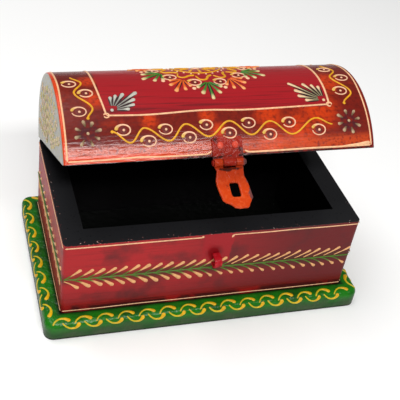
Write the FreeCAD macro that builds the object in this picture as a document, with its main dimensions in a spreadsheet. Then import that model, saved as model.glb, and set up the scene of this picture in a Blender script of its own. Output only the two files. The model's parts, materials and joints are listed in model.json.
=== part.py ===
"""Hand-painted keepsake box: plinth, four walls, barrel lid of staves, two hinges and a hasp.

Millimetres. The origin is the middle of the plinth's underside, +X right, -Y front, +Z up.
The lid is drawn shut, about the axis of its barrel, and then swung open about the hinge pins.
"""
import FreeCAD, Part
import os

import Sketcher
from FreeCAD import Placement, Rotation, Vector

SIZES = {
    # Plinth, which is also the floor of the box and stands out beyond the walls
    "plinth_margin_end": 11,
    "plinth_margin_front": 10,
    "plinth_height": 13.5,
    "plinth_corner": 6.5,
    "plinth_edge": 4,
    # Four walls, butt jointed, the long ones covering the ends of the short ones
    "box_length": 200,
    "box_depth": 113,
    "box_height": 58.5,
    "wall": 14.5,
    "box_corner": 3,
    # Barrel lid: staves nailed over two D-shaped end boards
    "lid_rise": 49,
    "lid_overhang": 0.4,
    "lid_edge": 1.5,
    "stave": 11,
    "lid_end": 9.5,
    "rim_gap": 0.3,
    "lid_open_degrees": 26.5,
    # Sheet-iron hinges on the back and the hasp's own hinge
    "sheet": 1.2,
    "knuckle_radius": 2.4,
    "knuckle_middle": 8,
    "knuckle_gap": 0.35,
    "pin_radius": 1.1,
    "pin_head_radius": 1.7,
    "pin_head": 0.6,
    "running_gap": 0.05,
    "hinge_spacing": 110,
    "hinge_width": 24,
    "hinge_offset": 3.1,
    "hinge_leaf": 17,
    "leaf_corner": 2,
    # Hasp at the front edge of the lid
    "hasp_width": 19.4,
    "hasp_plate": 12,
    "hasp_drop": 3.2,
    "hasp_offset": 3,
    "hasp_reach": 31,
    "hasp_clip": 7,
    "hasp_tip": 9.4,
    "hasp_swing_degrees": 42,
    "slot_start": 13.2,
    "slot_length": 10,
    "slot_width": 6,
    "slot_corner": 1.2,
    # Staple in the front wall, a strip of the same sheet
    "staple_width": 5,
    "staple_span": 8.2,
    "staple_reach": 7.5,
    "staple_depth": 10,
    "staple_corner": 3.4,
    # Square brads that hold the boards, punched below the paint
    "nail_radius": 1,
    "nail_sink": 1.5,
    "wall_nail": 32,
    "stave_nail": 22,
    "corner_nail_inset": 13,
    "plinth_nail_spacing": 70,
    # Dome-head studs that hold the ironwork
    "stud_radius": 1,
    "stud_length": 8,
    "stud_head_radius": 2.25,
    "stud_crown": 1.2,
    "stud_dome": 1.4,
    "stud_spacing": 9.6,
    "stud_rise": 8.5,
    "hasp_stud_rise": 6.8,
}
STAVE_COUNT = 7
HEAD_SIDES = 8
FRONT, BACK = -1, 1
LEFT, RIGHT = -1, 1
# Millimetres within which two lengths count as the same
NEAR = 0.0001

# Sizes that follow from the ones above, as expressions
LID_DEPTH = "(sizes.box_depth + 2 * sizes.lid_overhang)"
LID_LENGTH = "(sizes.box_length + 2 * sizes.lid_overhang)"
BOX_TOP = "(sizes.plinth_height + sizes.box_height)"
BARREL = f"((sizes.lid_rise ^ 2 + {LID_DEPTH} ^ 2 / 4) / (2 * sizes.lid_rise))"
HOLLOW = f"({BARREL} - sizes.stave)"
RIM = f"({BARREL} - sizes.lid_rise)"
RIM_ANGLE = f"(asin({RIM} / {BARREL}) / 1 deg)"
STAVE_ANGLE = f"((180 - 2 * {RIM_ANGLE}) / {STAVE_COUNT})"
MM_OF_ARC = f"(180 / pi / {BARREL})"
KNUCKLE_ROOM = "(sizes.knuckle_radius + sizes.knuckle_gap)"

# The hinge axis in the box's frame, and the hinge and hasp axes in the barrel's frame
HINGE_Y = "(sizes.box_depth / 2 + sizes.hinge_offset)"
HINGE_Z = f"({BOX_TOP} + sizes.rim_gap / 2)"
PIN_Z = f"({RIM} - sizes.rim_gap / 2)"
HASP_Y = f"(-{LID_DEPTH} / 2 - sizes.hasp_offset)"
HASP_Z = f"({RIM} - sizes.hasp_drop)"

doc = FreeCAD.newDocument("painted_box")
sizes = doc.addObject("Spreadsheet::Sheet", "sizes")
for row, (alias, size) in enumerate(SIZES.items(), start=1):
    sizes.set(f"A{row}", alias)
    sizes.set(f"B{row}", str(size))
    sizes.setAlias(f"B{row}", alias)
doc.recompute()
nodes = []


def value(expression):
    """The number that an expression of sizes gives."""
    return float(sizes.evalExpression(expression))


def bind(item, **expressions):
    """Tie properties of an object to expressions of the sizes."""
    for name, expression in expressions.items():
        item.setExpression(name, expression)
    return item


def place(item, x="0", y="0", z="0", tilt=None):
    """Put an object at x, y, z, turned by tilt degrees about X."""
    if tilt is not None:
        item.Placement = Placement(item.Placement.Base, Rotation(Vector(1, 0, 0), 45))
        item.setExpression("Placement.Rotation.Angle", tilt)
    for axis, expression in zip("xyz", (x, y, z)):
        item.setExpression(f"Placement.Base.{axis}", expression)
    return item


def swing_open(item, x="0", y="0", z="0", extra="0"):
    """Put an object drawn at y, z of the shut barrel where the open lid carries it."""
    along = f"(({y}) - {HINGE_Y})"
    above = f"(({z}) - {PIN_Z})"
    turned_y = f"{HINGE_Y} + {along} * cos(sizes.lid_open_degrees) + {above} * sin(sizes.lid_open_degrees)"
    turned_z = f"{HINGE_Z} - {along} * sin(sizes.lid_open_degrees) + {above} * cos(sizes.lid_open_degrees)"
    return place(item, x, turned_y, turned_z, tilt=f"-(sizes.lid_open_degrees + {extra})")


def keep(item, label):
    """Name a finished sub-part and note it for export."""
    item.Label = label
    nodes.append(item)
    return item


def new_body(name):
    return doc.addObject("PartDesign::Body", name)


def sketch_on(body, role):
    """A sketch on one of the body's own origin planes."""
    sketch = body.newObject("Sketcher::SketchObject", f"{body.Name}_sketch")
    plane = next(item for item in body.Origin.OriginFeatures if item.Role == role)
    sketch.AttachmentSupport = (plane, [""])
    sketch.MapMode = "FlatFace"
    return sketch


def dimension(sketch, kind, where, expression):
    """A dimension of a sketch, tied to an expression of the sizes."""
    number = value(expression)
    if kind == "Angle":
        number = FreeCAD.Units.Quantity(number, FreeCAD.Units.Angle).getValueAs("rad").Value
    index = sketch.addConstraint(Sketcher.Constraint(kind, *where, number))
    name = f"size_{index}"
    sketch.renameConstraint(index, name)
    sketch.setExpression(f"Constraints.{name}", expression)


def join_ends(sketch, first, first_end, second, second_end):
    sketch.addConstraint(Sketcher.Constraint("Coincident", first, first_end, second, second_end))


def draw_polygon(sketch, corners):
    """A closed outline of straight sides through corners, each a pair of expressions."""
    points = [Vector(value(across), value(up), 0) for across, up in corners]
    sides = []
    for start, end in zip(points, points[1:] + points[:1]):
        sides.append(sketch.addGeometry(Part.LineSegment(start, end)))
    for side, following in zip(sides, sides[1:] + sides[:1]):
        join_ends(sketch, side, 2, following, 1)
    for side, (across, up) in zip(sides, corners):
        dimension(sketch, "DistanceX", (-1, 1, side, 1), across)
        dimension(sketch, "DistanceY", (-1, 1, side, 1), up)


def draw_circle(sketch, radius, across=None, up=None):
    """A circle about the sketch's origin, or about a point given by two expressions."""
    centre = Vector()
    if across is not None:
        centre = Vector(value(across), value(up), 0)
    circle = sketch.addGeometry(Part.Circle(centre, Vector(0, 0, 1), value(radius)))
    dimension(sketch, "Radius", (circle,), radius)
    if across is None:
        join_ends(sketch, circle, 3, -1, 1)
    else:
        dimension(sketch, "DistanceX", (-1, 1, circle, 3), across)
        dimension(sketch, "DistanceY", (-1, 1, circle, 3), up)


def draw_arc(sketch, radius, start, end):
    """An arc about the sketch's origin between two angles."""
    circle = Part.Circle(Vector(), Vector(0, 0, 1), value(radius))
    turn = FreeCAD.Units.parseQuantity("1 deg").getValueAs("rad").Value
    arc = sketch.addGeometry(Part.ArcOfCircle(circle, value(start) * turn, value(end) * turn))
    dimension(sketch, "Radius", (arc,), radius)
    join_ends(sketch, arc, 3, -1, 1)
    return arc


def draw_ring_sector(sketch, inner, outer, start, end, start_on_rim=False, end_on_rim=False):
    """A piece of a ring between two angles, whose sides point to the axis or lie on the rim."""
    inner_start, inner_end = start, end
    if start_on_rim:
        inner_start = f"asin({RIM} / {inner}) / 1 deg"
    if end_on_rim:
        inner_end = f"180 - asin({RIM} / {inner}) / 1 deg"
    outer_arc = draw_arc(sketch, outer, start, end)
    inner_arc = draw_arc(sketch, inner, inner_start, inner_end)
    for end_of_arc, angle, on_rim in ((1, start, start_on_rim), (2, end, end_on_rim)):
        near = sketch.getPoint(inner_arc, end_of_arc)
        far = sketch.getPoint(outer_arc, end_of_arc)
        side = sketch.addGeometry(Part.LineSegment(near, far))
        join_ends(sketch, side, 1, inner_arc, end_of_arc)
        join_ends(sketch, side, 2, outer_arc, end_of_arc)
        if on_rim:
            sketch.addConstraint(Sketcher.Constraint("Horizontal", side))
            dimension(sketch, "DistanceY", (-1, 1, side, 1), RIM)
        else:
            sketch.addConstraint(Sketcher.Constraint("PointOnObject", -1, 1, side))
            dimension(sketch, "Angle", (side,), angle)


def extrude(body, sketch, length, kind="PartDesign::Pad", side="Symmetric"):
    """Pad or pocket a sketch over a length, half to each side of its plane unless told."""
    feature = body.newObject(kind, f"{body.Name}_{kind.split('::')[1].lower()}")
    feature.Profile = sketch
    feature.SideType = side
    feature.setExpression("Length", length)
    return feature


def pocket(body, sketch, length):
    return extrude(body, sketch, length, kind="PartDesign::Pocket")


def round_edges(body, radius, chosen):
    """Round the edges of a body's last feature that pass a test."""
    doc.recompute()
    base = body.Tip
    names = [f"Edge{number}" for number, edge in enumerate(base.Shape.Edges, start=1) if chosen(edge)]
    feature = body.newObject("PartDesign::Fillet", f"{body.Name}_round")
    feature.Base = (base, names)
    feature.setExpression("Radius", radius)
    return feature


def runs_along(edge, axis):
    """Whether an edge is straight and parallel to an axis."""
    spans = {"x": edge.BoundBox.XLength, "y": edge.BoundBox.YLength, "z": edge.BoundBox.ZLength}
    return isinstance(edge.Curve, Part.Line) and abs(spans[axis] - edge.Length) < NEAR


def rod(name, radius, length):
    """A cylinder along Z from the origin."""
    return bind(doc.addObject("Part::Cylinder", name), Radius=radius, Height=length)


def fuse(name, base, tool):
    joined = doc.addObject("Part::Fuse", name)
    joined.Base = base
    joined.Tool = tool
    return joined


def drill(base, *tools):
    """Cut the holes of nails, studs or the staple in a piece."""
    for tool in tools:
        cut = doc.addObject("Part::Cut", f"{base.Name}_drilled")
        cut.Base = base
        cut.Tool = tool
        base = cut
    return base


def group(name, pieces):
    collected = doc.addObject("Part::Compound", name)
    collected.Links = pieces
    return collected


def flat_sided_rod(name, radius, length, sides=4):
    """A rod with flat sides along Z from the origin, with half its diagonal as radius."""
    shank = doc.addObject("Part::Prism", name)
    shank.Polygon = sides
    return bind(shank, Circumradius=radius, Height=length)


def put_nails(name, length, spots):
    """Nails at spots, each the x, y, z of the point and the tilt."""
    return group(name, [place(flat_sided_rod(f"{name}_{number}", "sizes.nail_radius", length), *spot)
                        for number, spot in enumerate(spots)])


def stud_head(name):
    """A many-sided cap that stands on the origin and narrows to its crown."""
    rings = []
    for ring_name, radius, height in (
        ("foot", "sizes.stud_head_radius", "0"),
        ("crown", "sizes.stud_crown", "sizes.stud_dome"),
    ):
        ring = doc.addObject("Part::RegularPolygon", f"{name}_{ring_name}")
        ring.Polygon = HEAD_SIDES
        rings.append(place(bind(ring, Circumradius=radius), z=height))
    cap = doc.addObject("Part::Loft", name)
    cap.Sections = rings
    cap.Solid = True
    cap.Ruled = True
    return cap


def put_studs(name, spots):
    """Studs and their holes at spots, each the x, y, z of the head's underside and the tilt."""
    studs, holes = [], []
    for number, spot in enumerate(spots):
        stud = f"{name}_{number}"
        shank = flat_sided_rod(f"{stud}_shank", "sizes.stud_radius", "sizes.stud_length")
        whole = fuse(stud, place(shank, z="-sizes.stud_length"), stud_head(f"{stud}_head"))
        bore = flat_sided_rod(f"{stud}_bore", "sizes.stud_radius", "sizes.stud_length + sizes.stud_dome")
        hole = group(f"{stud}_hole", [place(bore, z="-sizes.stud_length")])
        studs.append(place(whole, *spot))
        holes.append(place(hole, *spot))
    return group(name, studs), group(f"{name}_holes", holes)


def barrel_spot(x, radius, angle):
    """Place and tilt of a nail at an angle from the back, with its blunt end away from the axis."""
    return x, f"{radius} * cos({angle})", f"{radius} * sin({angle})", f"{angle} - 90"


def pin(name, width):
    """A hinge pin that runs along X from the origin, with its two ends peened over."""
    shaft = rod(f"{name}_shaft", "sizes.pin_radius", f"{width} + 2 * sizes.pin_head")
    left_head, right_head = (
        flat_sided_rod(f"{name}_{word}_head", "sizes.pin_head_radius", "sizes.pin_head", HEAD_SIDES)
        for word in ("left", "right"))
    place(right_head, z=f"{width} + sizes.pin_head")
    whole = fuse(name, fuse(f"{name}_half", shaft, left_head), right_head)
    whole.Placement = Placement(Vector(), Rotation(Vector(0, 1, 0), 90))
    return whole


def make_nails():
    """Nails of the corners, the plinth and the lid, each kind as one group."""
    wall_middle_x = "(sizes.box_length / 2 - sizes.wall / 2)"
    wall_middle_y = "(sizes.box_depth / 2 - sizes.wall / 2)"
    point_y = "(sizes.box_depth / 2 - sizes.nail_sink - sizes.wall_nail)"
    heights = ("sizes.plinth_height + sizes.corner_nail_inset", f"{BOX_TOP} - sizes.corner_nail_inset")
    corner = [(f"{side} * {wall_middle_x}", f"{face} * {point_y}", height, f"{-90 * face}")
              for side in (LEFT, RIGHT) for face in (FRONT, BACK) for height in heights]
    plinth = [(f"{step} * sizes.plinth_nail_spacing", f"{face} * {wall_middle_y}", "sizes.nail_sink")
              for face in (FRONT, BACK) for step in (-1, 0, 1)]
    plinth += [(f"{side} * {wall_middle_x}", "0", "sizes.nail_sink") for side in (LEFT, RIGHT)]
    point_radius = f"({BARREL} - sizes.nail_sink - sizes.stave_nail)"
    stave = []
    for side in (LEFT, RIGHT):
        x = f"{side} * ({LID_LENGTH} / 2 - sizes.lid_end / 2)"
        for number in range(STAVE_COUNT):
            angle = f"({RIM_ANGLE} + ({number} + 0.5) * {STAVE_ANGLE})"
            stave.append(barrel_spot(x, point_radius, angle))
    return (put_nails("corner_nails", "sizes.wall_nail", corner),
            put_nails("plinth_nails", "sizes.wall_nail", plinth),
            put_nails("stave_nails_shut", "sizes.stave_nail", stave))


def make_studs():
    """Dome-head studs of the hinges' box leaves, of their lid leaves and of the hasp's plate, with holes."""
    on_box, on_lid, on_hasp = [], [], []
    face = "(sizes.box_depth / 2 + sizes.sheet)"
    on_sheet = f"({BARREL} + sizes.sheet)"
    rise = f"({RIM_ANGLE} + sizes.stud_rise * {MM_OF_ARC})"
    hasp_rise = f"({RIM_ANGLE} + sizes.hasp_stud_rise * {MM_OF_ARC})"
    for step in (-0.5, 0.5):
        for side in (LEFT, RIGHT):
            x = f"{side} * sizes.hinge_spacing / 2 + {step} * sizes.stud_spacing"
            on_box.append((x, face, f"{HINGE_Z} - sizes.stud_rise", "-90"))
            on_lid.append(barrel_spot(x, on_sheet, rise))
        on_hasp.append(barrel_spot(f"{step} * sizes.stud_spacing", on_sheet, f"(180 - {hasp_rise})"))
    return (put_studs("hinge_box_studs", on_box), put_studs("lid_studs_shut", on_lid),
            put_studs("hasp_studs_shut", on_hasp))


def make_plinth():
    body = new_body("plinth_board")
    sketch = sketch_on(body, "XY_Plane")
    right = "(sizes.box_length / 2 + sizes.plinth_margin_end)"
    back = "(sizes.box_depth / 2 + sizes.plinth_margin_front)"
    draw_polygon(sketch, [(f"-{right}", f"-{back}"), (right, f"-{back}"), (right, back), (f"-{right}", back)])
    extrude(body, sketch, "sizes.plinth_height", side="One side")
    round_edges(body, "sizes.plinth_corner", lambda edge: runs_along(edge, "z"))
    top = value("sizes.plinth_height")
    round_edges(body, "sizes.plinth_edge", lambda edge: edge.BoundBox.ZMin > top - NEAR)
    return body


def make_long_wall(name, face):
    """Front or back wall, with its two outer corners rounded."""
    body = new_body(name)
    sketch = sketch_on(body, "XY_Plane")
    end, outside = "sizes.box_length / 2", f"{face} * sizes.box_depth / 2"
    inside = f"{face} * (sizes.box_depth / 2 - sizes.wall)"
    draw_polygon(sketch, [(f"-{end}", outside), (end, outside), (end, inside), (f"-{end}", inside)])
    extrude(body, sketch, "sizes.box_height", side="One side")
    outer = value(outside)
    round_edges(body, "sizes.box_corner",
                lambda edge: runs_along(edge, "z") and abs(edge.BoundBox.YMin - outer) < NEAR)
    return place(body, z="sizes.plinth_height")


def make_short_wall(name, side):
    """Left or right wall, between the long ones."""
    board = doc.addObject("Part::Box", name)
    bind(board, Length="sizes.wall", Width="sizes.box_depth - 2 * sizes.wall", Height="sizes.box_height")
    x = f"{side} * (sizes.box_length / 2 - sizes.wall / 2) - sizes.wall / 2"
    return place(board, x, "sizes.wall - sizes.box_depth / 2", "sizes.plinth_height")


def make_staple():
    """Strip of sheet bent to a U, both legs driven into the front wall."""
    body = new_body("staple_strip")
    sketch = sketch_on(body, "YZ_Plane")
    outside, inside = "sizes.staple_span / 2", "(sizes.staple_span / 2 - sizes.sheet)"
    reach, bend, point = "-sizes.staple_reach", "sizes.sheet - sizes.staple_reach", "sizes.staple_depth"
    draw_polygon(sketch, [(point, outside), (reach, outside), (reach, f"-{outside}"), (point, f"-{outside}"),
                          (point, f"-{inside}"), (bend, f"-{inside}"), (bend, inside), (point, inside)])
    extrude(body, sketch, "sizes.staple_width")
    corner = "min(sizes.staple_corner; 0.45 * sizes.staple_span)"
    for across, radius in ((reach, corner), (bend, f"{corner} - sizes.sheet")):
        depth = value(across)
        round_edges(body, radius,
                    lambda edge: runs_along(edge, "x") and abs(edge.BoundBox.YMin - depth) < NEAR)
    middle = (f"{BOX_TOP} + sizes.rim_gap - sizes.hasp_drop"
              " - sizes.slot_start - sizes.slot_length / 2")
    return place(body, y="-sizes.box_depth / 2", z=middle)


def make_stave(number):
    """One stave of the barrel, counted from the front rim."""
    body = new_body(f"stave_{number + 1}")
    sketch = sketch_on(body, "YZ_Plane")
    end = f"(180 - {RIM_ANGLE} - {number} * {STAVE_ANGLE})"
    start = f"({end} - {STAVE_ANGLE})"
    draw_ring_sector(sketch, HOLLOW, BARREL, start, end,
                     start_on_rim=number == STAVE_COUNT - 1, end_on_rim=number == 0)
    extrude(body, sketch, LID_LENGTH)
    barrel = value(BARREL)
    round_edges(body, "sizes.lid_edge",
                lambda edge: isinstance(edge.Curve, Part.Circle) and abs(edge.Curve.Radius - barrel) < NEAR)
    return body


def make_lid_end(name, side):
    """D-shaped end board that fills the end of the barrel."""
    body = new_body(name)
    sketch = sketch_on(body, "YZ_Plane")
    tilt = f"asin({RIM} / {HOLLOW}) / 1 deg"
    arc = draw_arc(sketch, HOLLOW, tilt, f"180 - {tilt}")
    chord = sketch.addGeometry(Part.LineSegment(sketch.getPoint(arc, 2), sketch.getPoint(arc, 1)))
    join_ends(sketch, chord, 1, arc, 2)
    join_ends(sketch, chord, 2, arc, 1)
    sketch.addConstraint(Sketcher.Constraint("Horizontal", chord))
    dimension(sketch, "DistanceY", (-1, 1, chord, 1), RIM)
    extrude(body, sketch, "sizes.lid_end")
    return place(body, x=f"{side} * ({LID_LENGTH} / 2 - sizes.lid_end / 2)")


def make_box_leaf(name):
    """Flat hinge leaf with two outer knuckles, drawn about the pin."""
    body = new_body(name)
    sheet = sketch_on(body, "YZ_Plane")
    wall, face = "-sizes.hinge_offset", "sizes.sheet - sizes.hinge_offset"
    top, bottom = "-sizes.knuckle_gap", "-sizes.hinge_leaf"
    draw_polygon(sheet, [(wall, bottom), (face, bottom), (face, top), (wall, top)])
    extrude(body, sheet, "sizes.hinge_width")
    low = value(bottom)
    round_edges(body, "sizes.leaf_corner",
                lambda edge: runs_along(edge, "y") and edge.BoundBox.ZMin < low + NEAR)
    add_outer_knuckles(body, "sizes.hinge_width", "sizes.pin_radius")
    return body


def add_outer_knuckles(body, width, bore):
    """Two knuckles about the body's own X axis, with room between them for the middle one."""
    for kind, radius, length in (
        ("PartDesign::Pad", "sizes.knuckle_radius", width),
        ("PartDesign::Pocket", KNUCKLE_ROOM, "sizes.knuckle_middle + 2 * sizes.knuckle_gap"),
        ("PartDesign::Pocket", bore, width),
    ):
        sketch = sketch_on(body, "YZ_Plane")
        draw_circle(sketch, radius)
        extrude(body, sketch, length, kind)


def make_curved_leaf(name, face, x, width, rise, pin_y, pin_z, bore):
    """Leaf bent to the barrel's back or front, with one middle knuckle about pin_y, pin_z."""
    body = new_body(name)
    outside = f"({BARREL} + sizes.sheet)"
    low = f"(asin({pin_z} / {BARREL}) / 1 deg)"
    high = f"({RIM_ANGLE} + {rise} * {MM_OF_ARC})"
    tongue = f"({low} + 2 * {KNUCKLE_ROOM} * {MM_OF_ARC})"

    def add_sheet(top, length):
        sketch = sketch_on(body, "YZ_Plane")
        ends = (low, top) if face == BACK else (f"(180 - {top})", f"(180 - {low})")
        draw_ring_sector(sketch, BARREL, outside, *ends)
        return extrude(body, sketch, length)

    add_sheet(high, width)
    corner_height = value(f"{BARREL} * sin({high})")
    round_edges(body, "sizes.leaf_corner",
                lambda edge: isinstance(edge.Curve, Part.Line) and not runs_along(edge, "x")
                and edge.BoundBox.ZMax > corner_height)
    room = sketch_on(body, "YZ_Plane")
    draw_circle(room, KNUCKLE_ROOM, pin_y, pin_z)
    pocket(body, room, width)
    add_sheet(tongue, "sizes.knuckle_middle")
    knuckle = sketch_on(body, "YZ_Plane")
    draw_circle(knuckle, "sizes.knuckle_radius", pin_y, pin_z)
    extrude(body, knuckle, "sizes.knuckle_middle")
    hole = sketch_on(body, "YZ_Plane")
    draw_circle(hole, bore, pin_y, pin_z)
    pocket(body, hole, width)
    return place(body, x=x)


def make_hasp_leaf():
    """Slotted leaf with clipped corners, drawn hanging from its pin."""
    body = new_body("hasp_leaf")
    outline = sketch_on(body, "XZ_Plane")
    outline.setExpression("AttachmentOffset.Base.z", "-sizes.knuckle_radius")
    side, tip = "sizes.hasp_width / 2", "sizes.hasp_tip / 2"
    top, clip, end = "-sizes.knuckle_gap", "sizes.hasp_clip - sizes.hasp_reach", "-sizes.hasp_reach"
    draw_polygon(outline, [(f"-{side}", top), (f"-{side}", clip), (f"-{tip}", end),
                           (tip, end), (side, clip), (side, top)])
    extrude(body, outline, "sizes.sheet", side="One side")
    slot = sketch_on(body, "XZ_Plane")
    edge, start = "sizes.slot_width / 2", "-sizes.slot_start"
    finish = "-sizes.slot_start - sizes.slot_length"
    draw_polygon(slot, [(f"-{edge}", start), (f"-{edge}", finish), (edge, finish), (edge, start)])
    pocket(body, slot, "4 * sizes.knuckle_radius")
    half = value(edge)
    round_edges(body, "sizes.slot_corner",
                lambda found: runs_along(found, "y") and abs(abs(found.BoundBox.XMin) - half) < NEAR)
    add_outer_knuckles(body, "sizes.hasp_width", "sizes.pin_radius + sizes.running_gap")
    return swing_open(body, y=HASP_Y, z=HASP_Z, extra="sizes.hasp_swing_degrees")


def make_carcass(corner_nails, plinth_nails, box_studs, box_holes):
    """Everything that stands still."""
    staple = make_staple()
    keep(drill(make_plinth(), plinth_nails), "plinth")
    keep(drill(make_long_wall("front_board", FRONT), corner_nails, plinth_nails, staple), "front_wall")
    keep(drill(make_long_wall("back_board", BACK), corner_nails, plinth_nails, box_holes), "back_wall")
    keep(drill(make_short_wall("left_board", LEFT), corner_nails, plinth_nails), "left_wall")
    keep(drill(make_short_wall("right_board", RIGHT), corner_nails, plinth_nails), "right_wall")
    keep(corner_nails, "corner_nails")
    keep(plinth_nails, "plinth_nails")
    keep(staple, "staple")
    for word, side in (("left", LEFT), ("right", RIGHT)):
        x = f"{side} * sizes.hinge_spacing / 2"
        leaf = place(make_box_leaf(f"{word}_box_leaf"), x, HINGE_Y, HINGE_Z)
        keep(drill(leaf, box_holes), f"hinge_{word}_box_leaf")
        hinge_pin = pin(f"{word}_pin", "sizes.hinge_width")
        keep(place(hinge_pin, f"{x} - sizes.hinge_width / 2 - sizes.pin_head", HINGE_Y, HINGE_Z),
             f"hinge_{word}_pin")
    keep(box_studs, "hinge_box_studs")


def make_lid(stave_nails, lid_studs, lid_holes, hasp_studs, hasp_holes):
    """Everything that swings with the lid, apart from the hasp's leaf."""

    def keep_on_lid(piece, label):
        keep(swing_open(piece), label)

    for number in range(STAVE_COUNT):
        holes = [stave_nails]
        if number == 0:
            holes.append(hasp_holes)
        if number == STAVE_COUNT - 1:
            holes.append(lid_holes)
        keep_on_lid(drill(make_stave(number), *holes), f"lid_stave_{number + 1}")
    for word, side in (("left", LEFT), ("right", RIGHT)):
        keep_on_lid(drill(make_lid_end(f"{word}_end_board", side), stave_nails), f"lid_{word}_end")
        x = f"{side} * sizes.hinge_spacing / 2"
        leaf = make_curved_leaf(f"{word}_lid_leaf", BACK, x, "sizes.hinge_width", "sizes.hinge_leaf",
                                HINGE_Y, PIN_Z, "sizes.pin_radius + sizes.running_gap")
        keep_on_lid(drill(leaf, lid_holes), f"hinge_{word}_lid_leaf")
    plate = make_curved_leaf("plate", FRONT, "0", "sizes.hasp_width", "sizes.hasp_plate",
                             HASP_Y, HASP_Z, "sizes.pin_radius")
    keep_on_lid(drill(plate, hasp_holes), "hasp_plate")
    pin_length = "(sizes.hasp_width + 2 * sizes.knuckle_gap)"
    hasp_pin = place(pin("hasp_pivot", pin_length), f"-{pin_length} / 2 - sizes.pin_head", HASP_Y, HASP_Z)
    for loose, label in ((hasp_pin, "hasp_pin"), (stave_nails, "stave_nails"),
                         (lid_studs, "hinge_lid_studs"), (hasp_studs, "hasp_studs")):
        keep_on_lid(group(f"{label}_on_lid", [loose]), label)


def check_document():
    """Stop if any object failed, any solid is faulty or any pocket cut nothing."""
    for item in doc.Objects:
        if "Invalid" in item.State or "Error" in item.State:
            raise RuntimeError(f"{item.Name} failed: {item.State}")
    for item in doc.findObjects("PartDesign::Pocket"):
        if item.Shape.Volume >= item.BaseFeature.Shape.Volume:
            raise RuntimeError(f"{item.Name} cut nothing")
    for item in nodes:
        if item.Shape.isNull() or not item.Shape.isValid():
            raise RuntimeError(f"{item.Label} has no valid shape")


def main():
    corner_nails, plinth_nails, stave_nails = make_nails()
    box_studs, lid_studs, hasp_studs = make_studs()
    make_carcass(corner_nails, plinth_nails, *box_studs)
    make_lid(stave_nails, *lid_studs, *hasp_studs)
    keep(make_hasp_leaf(), "hasp_leaf")
    doc.recompute()
    check_document()
    os.makedirs("parts", exist_ok=True)
    for item in nodes:
        item.Shape.exportStep(f"parts/{item.Label}.step")
        print(item.Label, len(item.Shape.Solids), round(item.Shape.Volume, 1))


main()
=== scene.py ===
"""Looks of a hand-painted keepsake box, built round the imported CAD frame.

Each painted face is drawn in millimetres and comes out in metres in the shared frame: +X right, -Y front,
+Z up, with the origin in the middle of the plinth's underside. At rest the lid stands part open.
"""
import json
import logging
import math
import random
from abc import ABC, abstractmethod
from dataclasses import dataclass, replace
from enum import Enum, IntEnum
from typing import Any, Sequence, Union

import bpy
from mathutils import Matrix, Vector


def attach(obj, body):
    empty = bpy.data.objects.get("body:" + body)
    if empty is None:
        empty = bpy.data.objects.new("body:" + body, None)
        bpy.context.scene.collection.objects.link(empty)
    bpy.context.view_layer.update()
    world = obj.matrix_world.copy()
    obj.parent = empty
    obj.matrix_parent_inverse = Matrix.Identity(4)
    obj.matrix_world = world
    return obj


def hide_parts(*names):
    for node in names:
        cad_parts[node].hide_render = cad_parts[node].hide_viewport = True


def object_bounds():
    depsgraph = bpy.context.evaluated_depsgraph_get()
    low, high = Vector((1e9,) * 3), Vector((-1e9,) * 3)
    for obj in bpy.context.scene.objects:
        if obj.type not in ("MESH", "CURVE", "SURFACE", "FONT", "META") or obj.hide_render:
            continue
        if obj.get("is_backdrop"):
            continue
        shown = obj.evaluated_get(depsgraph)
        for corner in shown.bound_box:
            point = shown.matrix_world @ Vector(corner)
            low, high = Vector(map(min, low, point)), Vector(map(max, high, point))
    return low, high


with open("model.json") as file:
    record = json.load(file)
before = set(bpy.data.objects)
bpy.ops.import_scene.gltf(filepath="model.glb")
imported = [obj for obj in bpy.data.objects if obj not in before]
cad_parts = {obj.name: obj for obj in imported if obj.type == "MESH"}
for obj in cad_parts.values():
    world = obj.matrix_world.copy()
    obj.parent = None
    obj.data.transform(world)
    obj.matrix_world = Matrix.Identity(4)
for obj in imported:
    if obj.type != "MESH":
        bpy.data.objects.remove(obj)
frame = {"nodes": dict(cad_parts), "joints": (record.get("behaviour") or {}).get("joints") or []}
CAD_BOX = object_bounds()

log = logging.getLogger("painted_box")
MM = 0.001
TINY = 1e-9
UP = Vector((0, 0, 1))
# Sockets of the Mix node where it mixes colours
SHARE, BELOW, ABOVE, MIXED = 0, 6, 7, 2

Point = tuple[float, float]
Path = Sequence[Point]
Source = Union[bpy.types.Node, bpy.types.NodeSocket]


class Body(Enum):
    """Bodies of the frame that a piece can ride on."""

    BOX = "box"
    LID = "lid"
    HASP = "hasp"


class Slot(Enum):
    """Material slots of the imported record."""

    RED = "painted_wood_red"
    LID = "painted_wood_lid"
    GREEN = "painted_wood_green"
    IRON = "painted_iron"
    NAIL = "nail_steel"


class Seed(IntEnum):
    """Seeds of the hand's unevenness, one for each coat of raised paint."""

    WALLS = 11
    PLINTH_EDGES = 21
    RING_HOLLOWS = 30
    PANEL_OUTLINE = 31
    EDGE_LINES = 32
    VINES = 33
    RINGS = 34
    STAR_PETALS = 35
    LEFT_SPRAYS = 37
    RIGHT_SPRAYS = 38
    SPRAY_BLOTS = 39
    GREEN_LEAVES = 40
    ORANGE_LEAVES = 41
    SCROLLS = 42
    CENTRE_RINGS = 43
    CENTRE_BLOTS = 44
    CENTRE_HOLLOWS = 45
    OLIVE_DABS = 50
    ROSE_DABS = 60
    STUD_HEADS = 61
    HASP_LEAF = 62
    WALL_LINES = 111


class Side(Enum):
    """Sides of the box, each with the X and Y that point right for someone who looks at it."""

    FRONT = (1, 0)
    BACK = (-1, 0)
    LEFT = (0, -1)
    RIGHT = (0, 1)

    @property
    def word(self) -> str:
        """The side in the names of its pieces."""
        return self.name.lower()

    @property
    def right(self) -> Vector:
        """Direction to the right on the side."""
        return Vector((*self.value, 0))

    @property
    def outward(self) -> Vector:
        """Direction away from the box."""
        return self.right.cross(UP)


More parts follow.
